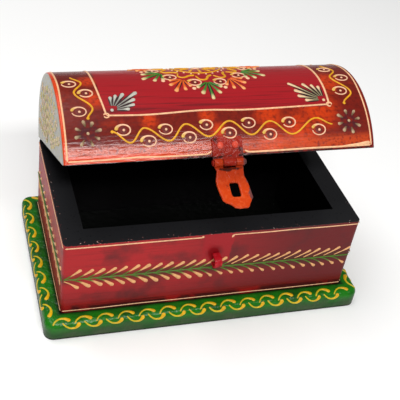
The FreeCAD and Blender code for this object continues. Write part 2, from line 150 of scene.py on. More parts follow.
@dataclass(frozen=True)
class BoxSizes:
    """Sizes of the solids that several classes share, in millimetres."""

    half_length: float = 100.0
    half_depth: float = 56.5
    plinth_top: float = 13.5
    wall_top: float = 72.0
    lid_half: float = 100.4
    sheet: float = 1.2


def linear(hex_colour: str) -> tuple[float, float, float, float]:
    """Turns an sRGB hex value into a linear colour.

    Args:
        hex_colour: Colour such as "#A32336".

    Returns:
        Linear red, green and blue, and an alpha of 1.
    """
    shares = [int(hex_colour[start:start + 2], 16) / 255 for start in (1, 3, 5)]
    red, green, blue = (s / 12.92 if s <= 0.04045 else ((s + 0.055) / 1.055) ** 2.4 for s in shares)
    return red, green, blue, 1.0


def pattern_scale(size_mm: float) -> float:
    """Scale of a pattern whose features are about that many millimetres long."""
    return 1 / (size_mm * MM)


# Faces that paint lies on


class Face(ABC):
    """A painted face with its own flat drawing plane in millimetres."""

    @abstractmethod
    def at(self, along: float, up: float, lift: float) -> Vector:
        """Finds a point of the shared frame.

        Args:
            along: Distance to the right on the drawing.
            up: Distance upwards on the drawing.
            lift: Height above the face.

        Returns:
            The point in metres.
        """


@dataclass(frozen=True)
class FlatFace(Face):
    """A flat face given by its origin and two directions."""

    origin: Vector
    right: Vector
    upward: Vector = UP

    def at(self, along: float, up: float, lift: float) -> Vector:
        """Finds a point on the flat face."""
        outward = self.right.cross(self.upward)
        return (self.origin + self.right * along + self.upward * up + outward * lift) * MM


@dataclass(frozen=True)
class BarrelFace(Face):
    """The lid's round outside: along is X and up is the arc from the front rim."""

    depth: float = 113.8
    rise: float = 49.0
    rim_gap: float = 0.3
    hinge: Vector = Vector(frame["joints"][0]["pos_m"]) / MM
    opening: float = math.radians(-frame["joints"][0]["range_deg"][0])
    proud: float = 0.0

    @property
    def radius(self) -> float:
        """Outer radius of the staves."""
        return (self.rise ** 2 + self.depth ** 2 / 4) / (2 * self.rise)

    @property
    def rim_height(self) -> float:
        """Height of the rim over the barrel's axis."""
        return self.radius - self.rise

    @property
    def rim_angle(self) -> float:
        """Angle of the rim over the horizontal."""
        return math.asin(self.rim_height / self.radius)

    @property
    def arc(self) -> float:
        """Length of the barrel's arc from rim to rim."""
        return (math.pi - 2 * self.rim_angle) * self.radius

    @property
    def pin_height(self) -> float:
        """Height of the hinge pins over the barrel's axis when the lid is shut."""
        return self.rim_height - self.rim_gap / 2

    def open_point(self, x: float, y: float, z: float) -> Vector:
        """Carries a point of the shut lid, measured from the barrel's axis, to where the open lid has it.

        Args:
            x: Distance to the right of the middle.
            y: Distance behind the axis.
            z: Height over the axis.

        Returns:
            The point in metres.
        """
        arm, height = y - self.hinge.y, z - self.pin_height
        cosine, sine = math.cos(self.opening), math.sin(self.opening)
        opened_y = self.hinge.y + arm * cosine + height * sine
        opened_z = self.hinge.z - arm * sine + height * cosine
        return Vector((x, opened_y, opened_z)) * MM

    def at(self, along: float, up: float, lift: float) -> Vector:
        """Finds a point on the barrel."""
        angle, reach = self.rim_angle + up / self.radius, self.radius + self.proud + lift
        return self.open_point(along, -reach * math.cos(angle), reach * math.sin(angle))


@dataclass(frozen=True)
class PlatedBarrel(BarrelFace):
    """The barrel with the hasp's plate on it, so that a ring can run from the one on to the other."""

    plate_half: float = 9.7
    plate_top: float = 12.0
    sheet: float = BoxSizes.sheet

    def at(self, along: float, up: float, lift: float) -> Vector:
        """Finds a point on the barrel or on the plate."""
        plated = abs(along) < self.plate_half and up < self.plate_top
        return super().at(along, up, lift + (self.sheet if plated else 0.0))


@dataclass(frozen=True)
class LidEndFace(Face):
    """A flat D-shaped end of the lid, drawn about the barrel's axis as its viewer sees it."""

    barrel: BarrelFace
    hand: int
    half_length: float = BoxSizes.lid_half

    def at(self, along: float, up: float, lift: float) -> Vector:
        """Finds a point on the lid's end."""
        return self.barrel.open_point(self.hand * (self.half_length + lift), self.hand * along, up)


@dataclass(frozen=True)
class RoundedEdge(Face):
    """An edge of the plinth: up runs over the rounding, from the side face on to the top face."""

    corner: Vector
    right: Vector
    outward: Vector
    radius: float = 4.0

    def at(self, along: float, up: float, lift: float) -> Vector:
        """Finds a point on the rounded edge.

        Args:
            along: Distance to the right.
            up: Distance over the rounding from its middle.
            lift: Height above the face.

        Returns:
            The point in metres.
        """
        quarter = math.pi / 2 * self.radius
        turn = min(max((up + quarter / 2) / self.radius, 0.0), math.pi / 2)
        beyond = up + quarter / 2 - turn * self.radius
        normal = self.outward * math.cos(turn) + UP * math.sin(turn)
        run = UP * math.cos(turn) - self.outward * math.sin(turn)
        middle = self.corner - (self.outward + UP) * self.radius
        return (middle + self.right * along + normal * (self.radius + lift) + run * beyond) * MM


# Strokes of raised paint

ALL_TIP = (-2.0, -1.0)
ALL_START = (2.0, 3.0)


@dataclass(frozen=True)
class Brush:
    """Half widths of a stroke at its start, belly and tip, its height, and where its tone changes."""

    start: float
    belly: float
    tip: float
    rise: float = 0.4
    tone: Point = ALL_TIP
    belly_at: float = 0.5

    def half_width(self, share: float) -> float:
        """Finds the half width at a place of the stroke.

        Args:
            share: Share of the stroke's length.

        Returns:
            The half width in millimetres.
        """
        if share < self.belly_at:
            return self.start + (self.belly - self.start) * share / self.belly_at
        return self.belly + (self.tip - self.belly) * (share - self.belly_at) / (1 - self.belly_at)

    def tone_at(self, share: float) -> float:
        """Finds the tone at a place of the stroke.

        Args:
            share: Share of the stroke's length.

        Returns:
            Share of the tip's colour.
        """
        first, last = self.tone
        step = min(max((share - first) / (last - first), 0.0), 1.0)
        return step * step * (3 - 2 * step)


def curve_through(points: Path, steps: int = 10) -> list[Point]:
    """Draws a smooth line through points.

    Args:
        points: Points that the line passes.
        steps: Samples between two points.

    Returns:
        The sampled line.
    """
    padded = [points[0], *points, points[-1]]
    line = []
    for four in zip(padded, padded[1:], padded[2:], padded[3:]):
        for step in range(steps):
            t = step / steps
            line.append(tuple(
                0.5 * (2 * b + (c - a) * t + (2 * a - 5 * b + 4 * c - d) * t ** 2
                       + (3 * b - a - 3 * c + d) * t ** 3)
                for a, b, c, d in zip(*four)))
    return [*line, points[-1]]


def wave_through(turns: Path, steps: int = 12) -> list[Point]:
    """Draws a wave that is level at each of its turns.

    Args:
        turns: Highest and lowest points of the wave, in order.
        steps: Samples between two turns.

    Returns:
        The sampled wave.
    """
    line = []
    for (x0, y0), (x1, y1) in zip(turns, turns[1:]):
        for step in range(steps):
            share = step / steps
            blend = (1 - math.cos(math.pi * share)) / 2
            line.append((x0 + (x1 - x0) * share, y0 + (y1 - y0) * blend))
    return [*line, turns[-1]]


def arc_about(centre: Point, wide: float, high: float, start: float, sweep: float,
              steps: int = 28) -> list[Point]:
    """An elliptic arc by its half width and half height, its first angle and its sweep in degrees."""
    angles = [math.radians(start + sweep * step / steps) for step in range(steps + 1)]
    return [(centre[0] + wide * math.cos(a), centre[1] + high * math.sin(a)) for a in angles]


def polar(centre: Point, radius: float, degrees: float) -> Point:
    """The point at a distance and an angle from a centre."""
    turn = math.radians(degrees)
    return centre[0] + radius * math.cos(turn), centre[1] + radius * math.sin(turn)


def swapped(path: Path) -> list[Point]:
    """The same line with its two directions swapped."""
    return [(up, along) for along, up in path]


class Relief:
    """Raised paint of one finish on one face, gathered into one mesh."""

    # Places across a stroke in half widths, with the share of its height there, or None at its foot
    ACROSS = ((-1.0, None), (-0.62, 0.78), (0.0, 1.0), (0.62, 0.78), (1.0, None))
    # Rings of a dome: shares of its radius, with shares of its height
    DOME = ((1.0, 0.0), (0.93, 0.42), (0.72, 0.74), (0.4, 0.94))
    DOME_SIDES = 14
    FOOT = -0.12
    ROW_GAP = 0.9
    FEWEST_ROWS = 9
    CROWDED_ROWS = 40
    PRESSURE = (0.9, 1.12)
    BLUNT_TIP = 0.02
    THIN_RISE = 0.35

    def __init__(self, face: Face, seed: int) -> None:
        """Starts an empty relief.

        Args:
            face: Face that the paint lies on.
            seed: Seed of the hand's unevenness.
        """
        self.face = face
        self.hand = random.Random(seed)
        self.points: list[Vector] = []
        self.faces: list[tuple[int, ...]] = []
        self.tones: list[float] = []

    def wander(self, start: float, end: float, level: float, sway: float, count: int) -> list[Point]:
        """Points of a nearly level line in so many steps, each off its level by up to the hand's sway."""
        return [(start + (end - start) * step / count, level + self.hand.uniform(-sway, sway))
                for step in range(count + 1)]

    def bridge(self, here: int, there: int, count: int, closed: bool) -> None:
        """Joins two rows of points by quads.

        Args:
            here: Number of the one row's first point.
            there: Number of the other row's first point.
            count: Points in each row.
            closed: Whether the rows are rings.
        """
        for step in range(count if closed else count - 1):
            following = (step + 1) % count
            self.faces.append((here + following, here + step, there + step, there + following))

    def stroke(self, path: Path, brush: Brush) -> None:
        """Lays one stroke along a path, with its rows closer near the ends unless it is long.

        Args:
            path: Middle line of the stroke.
            brush: Widths, height and tone of the stroke.
        """
        lengths = [0.0]
        for start, end in zip(path, path[1:]):
            lengths.append(lengths[-1] + math.dist(start, end))
        total = lengths[-1]
        count = max(self.FEWEST_ROWS, int(total / self.ROW_GAP))
        pressure = self.hand.uniform(*self.PRESSURE)
        rows, segment = [], 0
        for number in range(count + 1):
            share = (1 - math.cos(math.pi * number / count)) / 2
            if count > self.CROWDED_ROWS:
                share = number / count
            target = share * total
            while segment < len(path) - 2 and lengths[segment + 1] < target:
                segment += 1
            span = max(lengths[segment + 1] - lengths[segment], TINY)
            part = (target - lengths[segment]) / span
            (x0, y0), (x1, y1) = path[segment], path[segment + 1]
            rows.append(((x0 + (x1 - x0) * part, y0 + (y1 - y0) * part), share))
        first, wide = len(self.points), len(self.ACROSS)
        for number, ((x, y), share) in enumerate(rows):
            (xa, ya), _ = rows[max(number - 1, 0)]
            (xb, yb), _ = rows[min(number + 1, count)]
            run = max(math.hypot(xb - xa, yb - ya), TINY)
            side_x, side_y = -(yb - ya) / run, (xb - xa) / run
            half = brush.half_width(share) * pressure
            near_end = min(share, 1 - share) * total
            if near_end < half:
                half *= math.sqrt(max(1 - (1 - near_end / half) ** 2, self.BLUNT_TIP))
            rise = brush.rise * min(1.0, self.THIN_RISE + half / max(brush.belly, brush.tip))
            for offset, level in self.ACROSS:
                lift = self.FOOT if level is None else rise * level
                place = self.face.at(x + side_x * half * offset, y + side_y * half * offset, lift)
                self.points.append(place)
            self.tones += [brush.tone_at(share)] * wide
        last = first + count * wide
        for row in range(first, last, wide):
            self.bridge(row, row + wide, wide, closed=False)
        self.faces.append(tuple(range(first, first + wide)))
        self.faces.append(tuple(range(last + wide - 1, last - 1, -1)))

    def dot(self, middle: Point, radius: float, rise: float, foot: float = FOOT) -> None:
        """Lays one round dome.

        Args:
            middle: Middle of the dome.
            radius: Radius of its foot.
            rise: Height of its crown.
            foot: Height of its foot over the face.
        """
        first, sides = len(self.points), self.DOME_SIDES
        for share, level in self.DOME:
            for step in range(sides):
                x, y = polar(middle, radius * share, 360 * step / sides)
                self.points.append(self.face.at(x, y, foot + (rise - foot) * level))
        crown = len(self.points)
        self.points.append(self.face.at(*middle, rise))
        inner = crown - sides
        for ring in range(first, inner, sides):
            self.bridge(ring + sides, ring, sides, closed=True)
        for step in range(sides):
            self.faces.append((inner + step, inner + (step + 1) % sides, crown))
        self.faces.append(tuple(range(first + sides - 1, first - 1, -1)))
        self.tones += [1.0] * (len(self.points) - first)

    def hoop(self, rings: Sequence[Sequence[tuple[float, float, float]]]) -> None:
        """Adds a closed body with a hole, from rings that follow each other round and end at the first.

        Args:
            rings: Rings of as many points each, given as along, up and lift.
        """
        first, count = len(self.points), len(rings[0])
        for number, ring in enumerate(rings):
            self.points += [self.face.at(*point) for point in ring]
            there = first + (number + 1) % len(rings) * count
            self.bridge(first + number * count, there, count, closed=True)
        self.tones += [1.0] * (len(self.points) - first)

    def build(self, name: str, body: Body, slot: Slot, material: bpy.types.Material) -> bpy.types.Object:
        """Makes the piece and hangs it on its body.

        Args:
            name: Name of the piece.
            body: Body that it rides on.
            slot: Not used.
            material: Finish of the paint.

        Returns:
            The new object.
        """
        mesh = bpy.data.meshes.new(name)
        mesh.from_pydata(self.points, [], self.faces)
        mesh.attributes.new("tone", "FLOAT", "POINT").data.foreach_set("value", self.tones)
        mesh.shade_smooth()
        mesh.materials.append(material)
        piece = bpy.data.objects.new(name, mesh)
        bpy.context.scene.collection.objects.link(piece)
        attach(piece, body.value)
        log.info("%s: %d faces on %s", name, len(self.faces), body.value)
        return piece


# Finishes


class PaintSheet:
    """Node tree of one material, with the place on the surface that its patterns start from."""

    BUMP_STRENGTH = 0.5

    def __init__(self, name: str) -> None:
        """Starts an empty material.

        Args:
            name: Name of the material.
        """
        self.material = bpy.data.materials.new(name)
        self.material.use_nodes = True
        self.tree = self.material.node_tree
        self.tree.nodes.clear()
        self.place = self.add("TexCoord").outputs["Object"]

    def add(self, kind: str, inputs: dict[Any, Any] | None = None, **settings: Any) -> bpy.types.Node:
        """Adds a node with its settings and links.

        Args:
            kind: Blender's name of the node type, without the shader prefix.
            inputs: Values, sockets, or nodes for their first socket, by input name or number.
            **settings: Properties of the node.

        Returns:
            The new node.
        """
        node = self.tree.nodes.new("ShaderNode" + kind)
        for name, value in settings.items():
            setattr(node, name, value)
        for key, value in (inputs or {}).items():
            if isinstance(value, bpy.types.Node):
                value = value.outputs[0]
            if isinstance(value, bpy.types.NodeSocket):
                self.tree.links.new(value, node.inputs[key])
            else:
                node.inputs[key].default_value = value
        return node

    def build_up(self, ground: str, coats: Sequence[tuple[str, str]],
                 patterns: dict[str, tuple[Source, float, float, float]],
                 bands: dict[str, tuple[Source, float, float]] | None = None,
                 joins: Sequence[tuple[str, str, str, str]] = ()) -> Source:
        """Builds paint up in coats, each seen where its mask lets it through.

        Args:
            ground: Colour of the first coat.
            coats: Mask and colour of each further coat, in order.
            patterns: Masks by name: what they follow, their start and end, and the most they let through.
            bands: Soft masks by name: what they follow, and their start and end in millimetres.
            joins: Masks made from two others: name, first, operation and second.

        Returns:
            Socket of the colour.
        """
        masks = {}
        for name, (size, first, last) in (bands or {}).items():
            limits = {"Value": size, "From Min": first * MM, "From Max": last * MM}
            masks[name] = self.add("MapRange", limits, interpolation_type="SMOOTHSTEP")
        for name, (value, first, last, most) in patterns.items():
            limits = {"Value": value, "From Min": first, "From Max": last, "To Max": most}
            masks[name] = self.add("MapRange", limits)
        for name, first, operation, second in joins:
            masks[name] = self.add("Math", {0: masks[first], 1: masks[second]}, operation=operation)
        colour = linear(ground)
        for mask, paint in coats:
            coat = {SHARE: masks[mask], BELOW: colour, ABOVE: linear(paint)}
            colour = self.add("Mix", coat, data_type="RGBA").outputs[MIXED]
        return colour

    def finish(self, colour: Source, height: Source, depth_mm: float, **values: Any) -> bpy.types.Material:
        """Closes the tree with its shader.

        Args:
            colour: Source of the colour.
            height: Source of the relief.
            depth_mm: Depth of the relief in millimetres.
            **values: Constant inputs of the shader, with underscores for spaces.

        Returns:
            The material.
        """
        relief = {"Height": height, "Strength": self.BUMP_STRENGTH, "Distance": depth_mm * MM}
        bump = self.add("Bump", relief)
        inputs = {name.replace("_", " "): value for name, value in values.items()}
        inputs |= {"Base Color": colour, "Normal": bump, "Coat Normal": bump}
        self.add("OutputMaterial", {"Surface": self.add("BsdfPrincipled", inputs)})
        return self.material


@dataclass(frozen=True)
class StrokePaint:
    """Acrylic paint squeezed from a cone: raised, thick and glossy, with a darker start and a full tip."""

    name: str
    start: str
    tip: str
    roughness: float = 0.36
    mottle_mm: float = 2.2
    gloss_ior: float = 1.49

    def material(self) -> bpy.types.Material:
        """Makes the material, which shades from the start's colour to the tip's.

        Returns:
            The material.
        """
        sheet = PaintSheet(f"{self.name}_acrylic_paint_squeezed_from_a_cone")
        tone = sheet.add("Attribute", attribute_name="tone").outputs["Fac"]
        grit = {"Vector": sheet.place, "Scale": pattern_scale(self.mottle_mm), "Detail": 3.0}
        mottle = sheet.add("TexNoise", grit)
        ends = {SHARE: tone, BELOW: linear(self.start), ABOVE: linear(self.tip)}
        both = sheet.add("Mix", ends, data_type="RGBA").outputs[MIXED]
        limits = {"Value": mottle, "From Min": 0.3, "From Max": 0.7, "To Min": 0.76, "To Max": 1.06}
        shaded = {SHARE: 1.0, BELOW: both, ABOVE: sheet.add("MapRange", limits)}
        colour = sheet.add("Mix", shaded, data_type="RGBA", blend_type="MULTIPLY").outputs[MIXED]
        # Cone paint dries with a soft skin, so its highlights are small and a little uneven
        return sheet.finish(colour, mottle, depth_mm=0.12, Roughness=self.roughness, IOR=self.gloss_ior,
                            Specular_IOR_Level=0.3)


@dataclass(frozen=True)
class LidLacquer:
    """Varnished poster paint on the lid: maroon border rubbed with orange, crimson panel, black inside."""

    barrel: BarrelFace
    panel_half: float = 73.5
    panel_low: float = 29.3
    end_line: float = 97.3
    half_length: float = BoxSizes.lid_half
    star: Point = (84.2, 18.3)
    patches: tuple[tuple[float, float, float], ...] = (
        (65.0, 27.0, 20.0), (50.0, 15.0, 18.0), (30.0, 25.0, 14.0), (77.0, 50.0, 15.0), (30.0, 6.0, 14.0),
        (-10.0, 26.0, 8.0), (-47.0, 24.5, 8.0), (-77.5, 42.0, 10.0), (-79.0, 60.0, 9.0), (-4.0, 16.0, 8.0))
    patch_core: float = 0.2
    grain_mm: Point = (38.0, 1.2)
    ripple_mm: Point = (9.0, 1.6)
    cloud_mm: float = 22.0
    sponge_mm: float = 2.4
    ragged_mm: float = 3.0
    grain_share: float = 0.3
    maroon: str = "#6E160A"
    orange: str = "#BC3406"
    rust: str = "#E04E12"
    speck: str = "#541009"
    crimson: str = "#9A141C"
    panel_shade: str = "#65141B"
    smudge: str = "#46191F"
    edge: str = "#CE3D0C"
    right_edge: str = "#74150B"
    dark: str = "#3C0F0B"
    end: str = "#9C9C98"
    end_olive: str = "#A69A6C"
    black: str = "#080707"

    def material(self) -> bpy.types.Material:
        """Makes the material in the shut lid's own round coordinates.

        Returns:
            The material.
        """
        sheet = PaintSheet("poster_paint_on_wood_brushed_and_varnished_lid")
        barrel, hinge = self.barrel, self.barrel.hinge
        cosine, sine = math.cos(barrel.opening), math.sin(barrel.opening)
        shift = (0.0, (hinge.y - hinge.y * cosine + hinge.z * sine) * MM,
                 (barrel.pin_height - hinge.y * sine - hinge.z * cosine) * MM)
        closing = {"Vector": sheet.place, "Location": shift, "Rotation": (barrel.opening, 0.0, 0.0)}
        shut = sheet.add("Mapping", closing)
        x, y, z = sheet.add("SeparateXYZ", {0: shut}).outputs
        beside = sheet.add("Math", {0: x}, operation="ABSOLUTE")
        forward = sheet.add("Math", {0: y, 1: -1.0}, operation="MULTIPLY")
        angle = sheet.add("Math", {0: z, 1: forward}, operation="ARCTAN2")
        unrolled = {0: angle, 1: barrel.radius * MM, 2: -barrel.rim_angle * barrel.radius * MM}
        arc = sheet.add("Math", unrolled, operation="MULTIPLY_ADD")
        from_back = sheet.add("Math", {0: barrel.arc * MM, 1: arc}, operation="SUBTRACT")
        from_rim = sheet.add("Math", {0: arc, 1: from_back}, operation="MINIMUM")
        circle = sheet.add("CombineXYZ", {1: y, 2: z})
        radius = sheet.add("VectorMath", {0: circle}, operation="LENGTH").outputs["Value"]
        flat = sheet.add("CombineXYZ", {0: x, 1: from_rim})
        folded = sheet.add("CombineXYZ", {0: beside, 1: from_rim})
        star = (self.star[0] * MM, self.star[1] * MM, 0.0)
        star_gap = sheet.add("VectorMath", {0: folded, 1: star}, operation="DISTANCE").outputs["Value"]

        textures = []
        for along, across in (self.grain_mm, self.ripple_mm):
            stretch = (pattern_scale(along), pattern_scale(across), pattern_scale(across))
            stretched = sheet.add("Mapping", {"Vector": shut, "Scale": stretch})
            textures.append(sheet.add("TexNoise", {"Vector": stretched, "Scale": 1.0, "Detail": 4.0}))
        for size, detail in ((self.cloud_mm, 4.0), (self.sponge_mm, 3.0)):
            mottle = {"Vector": shut, "Scale": pattern_scale(size), "Detail": detail}
            textures.append(sheet.add("TexNoise", mottle))
        grain, ripple, cloud, sponge = textures
        frayed = {0: sponge, 1: self.ragged_mm * MM, 2: from_rim}
        ragged = sheet.add("Math", frayed, operation="MULTIPLY_ADD")

        bands = {
            "panel_ends": (beside, self.panel_half + 0.4, self.panel_half - 0.4),
            "panel_low": (from_rim, self.panel_low - 0.4, self.panel_low + 0.4),
            "panel_foot": (from_rim, self.panel_low + 16.0, self.panel_low),
            "by_star": (star_gap, 11.0, 3.5),
            "by_rim": (from_rim, 12.5, 6.5),
            "left_band": (x, 0.3 - self.end_line, -0.3 - self.end_line),
            "right_band": (x, self.end_line - 0.3, self.end_line + 0.3),
            "rim_band": (ragged, 6.8, 5.2),
            "rim_left": (x, -15.0, -45.0),
            "rim_right": (x, -45.0, -20.0),
            "rim_foot": (ragged, 3.8, 3.0),
            "on_end": (beside, self.half_length - 0.5, self.half_length - 0.3),
            "below": (radius, barrel.radius - 0.8, barrel.radius - 1.2),
            "between_ends": (beside, self.half_length - 0.3, self.half_length - 0.8),
            "rim": (z, barrel.rim_height + 0.5, barrel.rim_height + 0.2)}
        patterns = {
            "rubbed": (cloud, 0.6, 0.8, 0.65), "specks": (sponge, 0.46, 0.74, 0.75),
            "blotch": (sponge, 0.3, 0.6, 0.9), "streaks": (grain, 0.54, 0.8, 0.55),
            "shades": (grain, 0.4, 0.66, 0.85), "chips": (sponge, 0.44, 0.5, 0.9),
            "end_dabs": (sponge, 0.46, 0.6, 0.8)}
        joins = [
            ("panel", "panel_ends", "MULTIPLY", "panel_low"),
            ("foot_shades", "panel_foot", "MULTIPLY", "shades"),
            ("panel_shades", "foot_shades", "MULTIPLY", "panel"),
            ("smudges", "by_star", "MULTIPLY", "blotch"),
            ("glow", "by_rim", "MULTIPLY", "blotch"), ("front_band", "rim_band", "MULTIPLY", "rim_left"),
            ("edges", "front_band", "MAXIMUM", "left_band"), ("worn", "rim_foot", "MULTIPLY", "rim_right"),
            ("worn_chips", "worn", "MULTIPLY", "chips"), ("olive", "on_end", "MULTIPLY", "end_dabs"),
            ("inside", "below", "MULTIPLY", "between_ends"), ("hollow", "inside", "MAXIMUM", "rim")]
        for number, (along, up, reach) in enumerate(self.patches):
            spot = {0: flat, 1: (along * MM, up * MM, 0.0)}
            gap = sheet.add("VectorMath", spot, operation="DISTANCE").outputs["Value"]
            bands[f"patch_{number}"] = (gap, reach, self.patch_core * reach)
            joins.append(("rubbed", "rubbed", "MAXIMUM", f"patch_{number}"))
        coats = (("rubbed", self.orange), ("glow", self.rust), ("specks", self.speck),
                 ("panel", self.crimson), ("panel_shades", self.panel_shade), ("smudges", self.smudge),
                 ("edges", self.edge), ("right_band", self.right_edge), ("streaks", self.dark),
                 ("worn", self.right_edge), ("worn_chips", self.dark), ("on_end", self.end),
                 ("olive", self.end_olive), ("hollow", self.black))
        colour = sheet.build_up(self.maroon, coats, patterns, bands, joins)
        height = sheet.add("Math", {0: grain, 1: self.grain_share, 2: ripple}, operation="MULTIPLY_ADD")
        # Varnish over brushed paint keeps a soft sheen that breaks up on the brush marks
        return sheet.finish(colour, height, depth_mm=0.42, Roughness=0.6, IOR=1.5, Specular_IOR_Level=0.04,
                            Coat_Weight=0.64, Coat_Roughness=0.21)


@dataclass(frozen=True)
class WallLacquer:
    """Varnished poster paint on the walls: red that darkens to the right, black rim and inside."""

    half_length: float = BoxSizes.half_length
    half_depth: float = BoxSizes.half_depth
    foot: float = BoxSizes.plinth_top
    top: float = BoxSizes.wall_top
    stem: float = 42.7
    patch: Point = (-9.5, 11.0)
    patch_low: float = 46.0
    staple: tuple[float, float, float] = (-1.0, -56.5, 56.0)
    smudge_mm: float = 17.0
    grain_mm: Point = (34.0, 1.3)
    chip_mm: float = 1.4
    ragged_mm: float = -1.6
    waver_mm: float = 7.0
    uneven_mm: float = 6.0
    red: str = "#A81E22"
    maroon: str = "#641618"
    bright: str = "#9A161E"
    deep: str = "#701416"
    fresh: str = "#780810"
    smudge: str = "#4C1C1D"
    shade: str = "#4A2418"
    strip: str = "#8E1012"
    # Near-black of the painted shadow in patches along the foot of the wall, where it meets the plinth
    foot_shadow: str = "#2E0B0F"
    # The rim is the inside's black paint, drawn a paler grey as painted sheen
    rim: str = "#1F1F21"
    black: str = "#050405"
    chip: str = "#B9B0A6"

    def material(self) -> bpy.types.Material:
        """Makes the material in the box's own coordinates.

        Returns:
            The material.
        """
        sheet = PaintSheet("poster_paint_on_wood_brushed_and_varnished_walls")
        place = sheet.place
        x, y, z = sheet.add("SeparateXYZ", {0: place}).outputs
        along, across = self.grain_mm
        stretch = (pattern_scale(along), pattern_scale(along), pattern_scale(across))
        stretched = sheet.add("Mapping", {"Vector": place, "Scale": stretch})
        textures = []
        for where, scale, detail in ((stretched, 1.0, 4.0), (place, pattern_scale(self.smudge_mm), 5.0),
                                     (place, pattern_scale(self.chip_mm), 2.0)):
            textures.append(sheet.add("TexNoise", {"Vector": where, "Scale": scale, "Detail": detail}))
        grain, cloud, specks = textures
        strayed = []
        for noise, reach, size in ((specks, self.ragged_mm, z), (cloud, self.waver_mm, x),
                                   (grain, self.uneven_mm, z)):
            strayed.append(sheet.add("Math", {0: noise, 1: reach * MM, 2: size}, operation="MULTIPLY_ADD"))
        ragged, waver, uneven = strayed
        from_stem = sheet.add("Math", {0: z, 1: self.stem * MM}, operation="SUBTRACT")
        beside, behind, near_stem = [
            sheet.add("Math", {0: size}, operation="ABSOLUTE") for size in (x, y, from_stem)]
        root = tuple(size * MM for size in self.staple)
        staple_gap = sheet.add("VectorMath", {0: place, 1: root}, operation="DISTANCE").outputs["Value"]

        bands = {
            "past_ends": (beside, self.half_length - 3.0, self.half_length - 2.5),
            "past_sides": (behind, self.half_depth - 3.0, self.half_depth - 2.5),
            "within_ends": (beside, self.half_length - 2.5, self.half_length - 3.0),
            "within_sides": (behind, self.half_depth - 2.5, self.half_depth - 3.0),
            "rim": (ragged, self.top - 1.25, self.top - 1.0),
            "top_edge": (z, self.top - 1.1, self.top - 0.4),
            "by_stem": (near_stem, 6.5, 1.5),
            "by_staple": (staple_gap, 7.5, 2.5),
            "front": (y, 2.0 - self.half_depth, 1.5 - self.half_depth),
            "patch_left": (waver, self.patch[0] + 2.0, self.patch[0] + 5.0),
            "patch_right": (waver, self.patch[1] + 4.0, self.patch[1] + 2.6),
            "patch_low": (z, self.patch_low - 2.0, self.patch_low + 3.0),
            "foot": (uneven, self.foot + 10.0, self.foot + 6.8),
            "darker": (x, -0.6 * self.half_length, 0.75 * self.half_length)}
        patterns = {
            "flecks": (specks, 0.7, 0.73, 1.0), "smudges": (cloud, 0.5, 0.72, 0.75),
            "streaks": (grain, 0.5, 0.8, 0.5), "patches": (cloud, 0.22, 0.46, 0.85),
            "foot_shadow": (cloud, 0.36, 0.46, 0.88),
            "low": (z, (self.stem - 5.0) * MM, (self.stem - 20.0) * MM, 0.6)}
        joins = (
            ("outside", "past_ends", "MAXIMUM", "past_sides"),
            ("inside", "within_ends", "MULTIPLY", "within_sides"),
            ("edge", "top_edge", "MULTIPLY", "outside"), ("chips", "flecks", "MULTIPLY", "edge"),
            ("stem_shade", "by_stem", "MULTIPLY", "patches"), ("foot_shade", "foot", "MULTIPLY", "foot_shadow"),
            ("between", "patch_left", "MULTIPLY", "patch_right"), ("above", "patch_low", "MULTIPLY", "front"),
            ("bright", "between", "MULTIPLY", "above"))
        # The foot band ends in patches of near-black: painted shadow in the crease with the plinth
        coats = (("low", self.deep), ("darker", self.maroon), ("smudges", self.smudge),
                 ("streaks", self.maroon), ("bright", self.bright), ("by_staple", self.fresh),
                 ("stem_shade", self.shade), ("foot", self.strip), ("foot_shade", self.foot_shadow),
                 ("inside", self.black), ("rim", self.rim), ("chips", self.chip))
        colour = sheet.build_up(self.red, coats, patterns, bands, joins)
        # Thin paint on planed board: the grain still shows in a soft gloss
        return sheet.finish(colour, grain, depth_mm=0.25, Roughness=0.6, IOR=1.5, Specular_IOR_Level=0.05,
                            Coat_Weight=0.28, Coat_Roughness=0.2)


